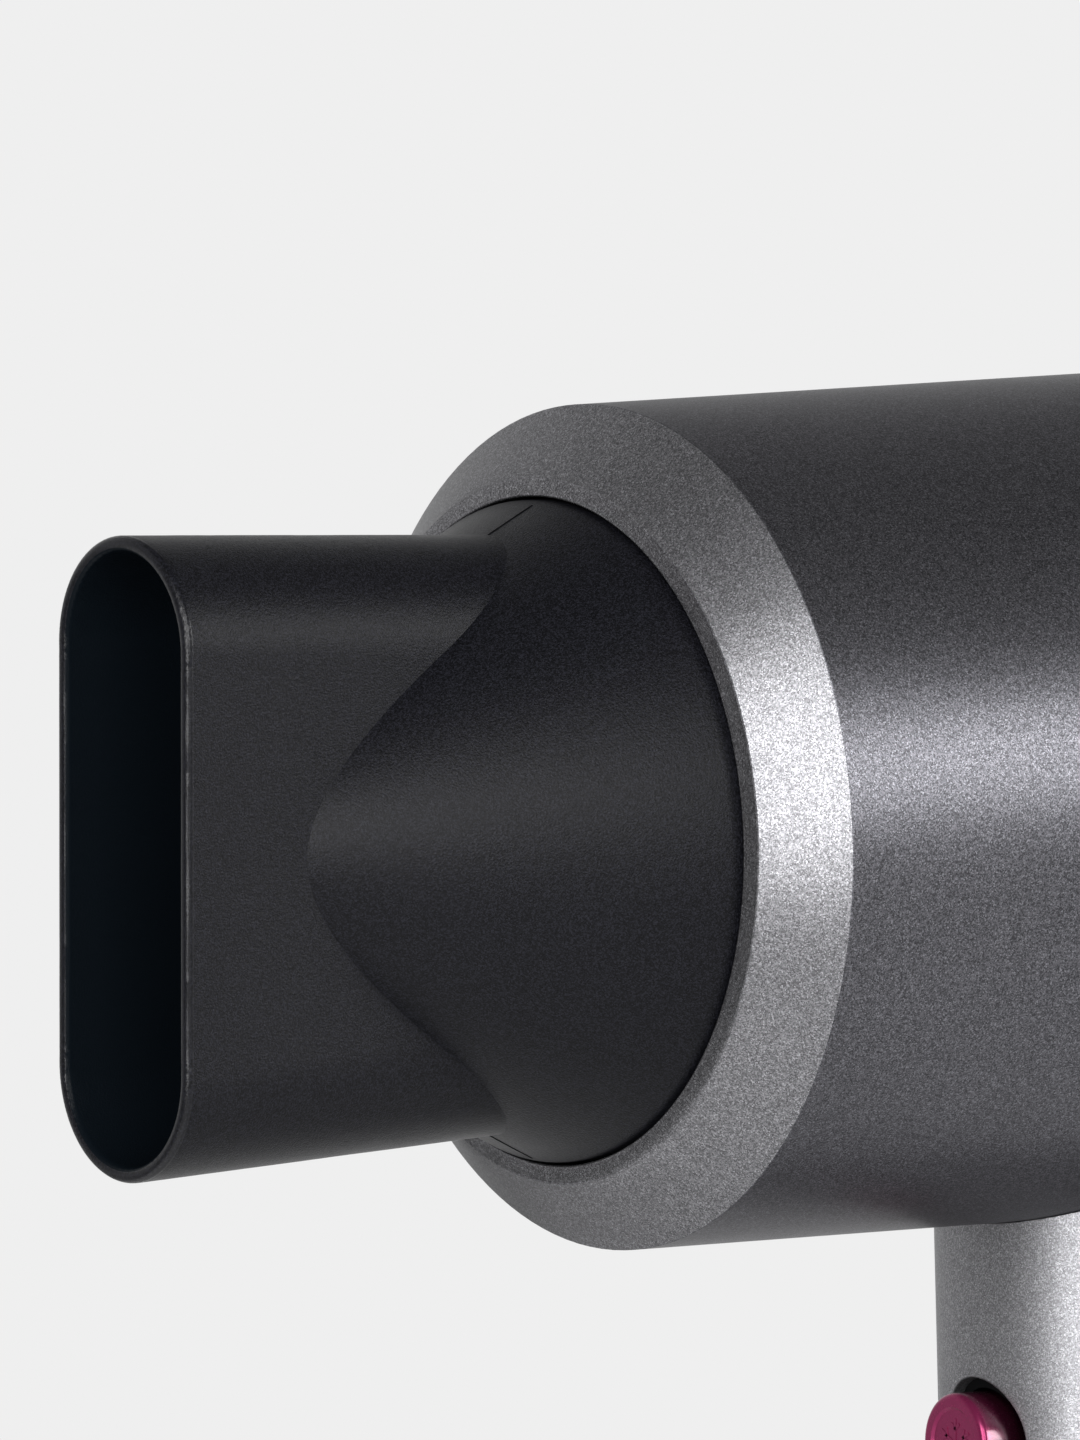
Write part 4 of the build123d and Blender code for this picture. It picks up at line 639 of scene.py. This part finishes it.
def switch_numbers(name, slider):
    """Printed 0, 1 and 2 on the handle, beside a slider's three stops."""
    low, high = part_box(slider)
    lean = Matrix.Rotation(HANDLE_LEAN, 4, "Y")
    upright = Matrix.Rotation(math.pi / 2, 4, "Z") @ Matrix.Rotation(math.pi / 2, 4, "X")
    mesh = bmesh.new()
    for number in range(SLIDER_STOPS):
        letter = bpy.data.curves.new(f"{name}_{number}", "FONT")
        letter.body = str(number)
        letter.size = NUMBER_SIZE
        letter.align_x = "CENTER"
        letter.align_y = "CENTER"
        letter.extrude = NUMBER_THICK
        lettering = bpy.data.objects.new(f"{name}_{number}", letter)
        scene.collection.objects.link(lettering)
        bpy.context.view_layer.update()
        shaped = lettering.evaluated_get(bpy.context.evaluated_depsgraph_get())
        flat = bpy.data.meshes.new_from_object(shaped)
        bpy.data.objects.remove(lettering)
        z = (low.z + high.z) / 2 + number * SLIDER_TRAVEL / (SLIDER_STOPS - 1)
        share = (z - HANDLE_END_Z) / (HANDLE_TOP_Z - HANDLE_END_Z)
        radius = HANDLE_END_R + share * (HANDLE_TOP_R - HANDLE_END_R)
        spot = Matrix.Rotation(NUMBER_TURN, 4, "Z") @ Matrix.Translation((radius, 0.0, z)) @ lean
        flat.transform(spot @ upright)
        mesh.from_mesh(flat)
        bpy.data.meshes.remove(flat)
    bmesh.ops.remove_doubles(mesh, verts=mesh.verts, dist=NUMBER_MERGE)
    place(mesh, name, "housing", number_ink)


parting_line()
cold_mark()
switch_numbers("speed_numbers", "speed_slider")
switch_numbers("heat_numbers", "heat_slider")


# Camera at the photograph's viewpoint, far off with a long lens

CAMERA_TURN = math.radians(144.1)
CAMERA_RISE = math.radians(5.25)
CAMERA_DISTANCE = 4.4
SENSOR = 36.0  # of the camera, in mm
FRAME_HEIGHT = 0.13590  # height of the picture, measured at the front ring
AIM_LEFT = 5.856 * MM  # of the middle of the front ring, as the camera sees it
AIM_UP = 10.125 * MM

back = Vector(
    (
        math.sin(CAMERA_TURN) * math.cos(CAMERA_RISE),
        -math.cos(CAMERA_TURN) * math.cos(CAMERA_RISE),
        math.sin(CAMERA_RISE),
    )
)
right = Vector((math.cos(CAMERA_TURN), math.sin(CAMERA_TURN), 0.0))
above = back.cross(right)
aim = Vector((FRONT_X, 0.0, AXIS_Z)) - right * AIM_LEFT + above * AIM_UP
camera = bpy.data.objects.new("camera", bpy.data.cameras.new("camera"))
scene.collection.objects.link(camera)
camera.data.sensor_width = SENSOR
camera.data.lens = SENSOR * CAMERA_DISTANCE / FRAME_HEIGHT
camera.location = aim + back * CAMERA_DISTANCE
camera.rotation_mode = "QUATERNION"
camera.rotation_quaternion = back.to_track_quat("Z", "Y")
scene.camera = camera


# Floor, backdrop colour and soft studio light

PALE = 0.863  # grey of the floor and the backdrop
FLOOR_R = 1.0
FLOOR_SIDES = 96
FLOOR_DROP = 0.5 * MM  # below the handle's end
FADE_START = 0.18  # from the origin, where the floor starts to turn clear
FADE_END = 0.75

# What glossy surfaces mirror of the floor: levels along the barrel, and a dim far corner
MIRROR_REACH = 0.2
MIRROR_LEVELS = ((0.25, grey(0.80)), (0.50, grey(0.52)), (0.78, grey(0.52)), (0.95, grey(1.0)))
CORNER_WAY = (1.0, -1.5, 0.0)
CORNER_START = 0.36
CORNER_END = 0.50
FLOOR_BRIGHT = 1.35
CORNER_DIM = 0.20


def pale_floor():
    """A pale round floor under the handle that fades into the backdrop."""
    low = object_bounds()[0]
    mesh = bmesh.new()
    bmesh.ops.create_circle(mesh, cap_ends=True, segments=FLOOR_SIDES, radius=FLOOR_R)
    bmesh.ops.translate(mesh, verts=mesh.verts, vec=(0.0, 0.0, low.z - FLOOR_DROP))
    data = bpy.data.meshes.new("floor")
    mesh.to_mesh(data)
    mesh.free()
    floor = bpy.data.objects.new("floor", data)
    scene.collection.objects.link(floor)
    material, tree, principled = shader(
        "floor_pale",
        {"Base Color": (*grey(PALE), 1.0), "Roughness": 0.9, "Specular IOR Level": 0.1},
    )
    mirrored = tree.nodes.new("ShaderNodeEmission")
    along = spread(tree, along_barrel(tree), 0.0, 1.0, start=-MIRROR_REACH, end=MIRROR_REACH)
    tree.links.new(ramp(tree, along, MIRROR_LEVELS), mirrored.inputs["Color"])
    corner = vector_step(tree, "DOT_PRODUCT", own_place(tree), CORNER_WAY)
    strength = spread(tree, corner, FLOOR_BRIGHT, CORNER_DIM, start=CORNER_START, end=CORNER_END)
    tree.links.new(strength, mirrored.inputs["Strength"])
    glossy = tree.nodes.new("ShaderNodeLightPath").outputs["Is Glossy Ray"]
    lit = swap_shader(tree, glossy, principled.outputs["BSDF"], mirrored.outputs["Emission"])
    from_middle = vector_step(tree, "LENGTH", own_place(tree))
    fade = spread(tree, from_middle, 0.0, 1.0, start=FADE_START, end=FADE_END)
    clear = tree.nodes.new("ShaderNodeBsdfTransparent")
    whole = swap_shader(tree, fade, lit, clear.outputs["BSDF"])
    tree.links.new(whole, tree.nodes["Material Output"].inputs["Surface"])
    data.materials.append(material)


AMBIENT = 0.30  # grey of the light from all round

# What glossy surfaces mirror of the room: levels towards the ceiling, and towards the front
CEILING_WAY = (0.0, 0.30, 0.954)
CEILING_LEVELS = (
    (0.0, grey(PALE)),
    (0.15, grey(0.78)),
    (0.30, grey(0.52)),
    (0.50, grey(0.34)),
    (0.75, grey(0.06)),
)
FRONT_WAY = (0.90, 0.42, 0.0)
FRONT_LEVELS = (
    (0.20, grey(PALE)),
    (0.57, grey(0.50)),
    (0.80, grey(0.13)),
    (0.90, grey(0.06)),
)


def backdrop():
    """World: pale grey where it is seen or mirrored, with a dim ceiling and a dim front of the room."""
    world = bpy.data.worlds.new("studio")
    scene.world = world
    world.use_nodes = True
    tree = world.node_tree
    seen = tree.nodes["Background"]
    seen.inputs["Color"].default_value = (*grey(PALE), 1.0)
    ambient = tree.nodes.new("ShaderNodeBackground")
    ambient.inputs["Color"].default_value = (*grey(AMBIENT), 1.0)
    mirrored = tree.nodes.new("ShaderNodeBackground")
    heading = tree.nodes.new("ShaderNodeTexCoord").outputs["Generated"]
    ceiling = ramp(tree, vector_step(tree, "DOT_PRODUCT", heading, CEILING_WAY), CEILING_LEVELS)
    facing = vector_step(tree, "DOT_PRODUCT", heading, FRONT_WAY)
    front = ramp(tree, spread(tree, facing, 0.0, 1.0, start=-1.0), FRONT_LEVELS)
    tree.links.new(darker_colour(tree, ceiling, front), mirrored.inputs["Color"])
    rays = tree.nodes.new("ShaderNodeLightPath").outputs
    reflected = tree.nodes.new("ShaderNodeMath")
    reflected.operation = "MAXIMUM"
    tree.links.new(rays["Is Glossy Ray"], reflected.inputs[0])
    tree.links.new(rays["Is Transmission Ray"], reflected.inputs[1])
    unseen = swap_shader(
        tree,
        reflected.outputs["Value"],
        ambient.outputs["Background"],
        mirrored.outputs["Background"],
    )
    whole = swap_shader(tree, rays["Is Camera Ray"], unseen, seen.outputs["Background"])
    tree.links.new(whole, tree.nodes["World Output"].inputs["Surface"])


LIGHT_DISTANCE = 1.4
LIGHT_AIM = Vector((0.03, 0.0, AXIS_Z))  # on the barrel's axis


def softbox(name, direction, width, height, power):
    """A rectangular soft light that points at the barrel."""
    data = bpy.data.lights.new(name, "AREA")
    data.shape = "RECTANGLE"
    data.size = width
    data.size_y = height
    data.energy = power
    lamp = bpy.data.objects.new(name, data)
    scene.collection.objects.link(lamp)
    heading = Vector(direction).normalized()
    lamp.location = LIGHT_AIM + heading * LIGHT_DISTANCE
    lamp.rotation_mode = "QUATERNION"
    lamp.rotation_quaternion = heading.to_track_quat("Z", "Y")
    lamp.visible_camera = False


pale_floor()
backdrop()
softbox("side_box", (-0.586, 0.770, 0.260), width=0.60, height=0.45, power=10.0)
softbox("front_box", (0.85, 0.48, 0.22), width=0.68, height=1.10, power=20.0)
softbox("camera_box", (0.40, 0.86, 0.34), width=0.50, height=0.70, power=9.0)
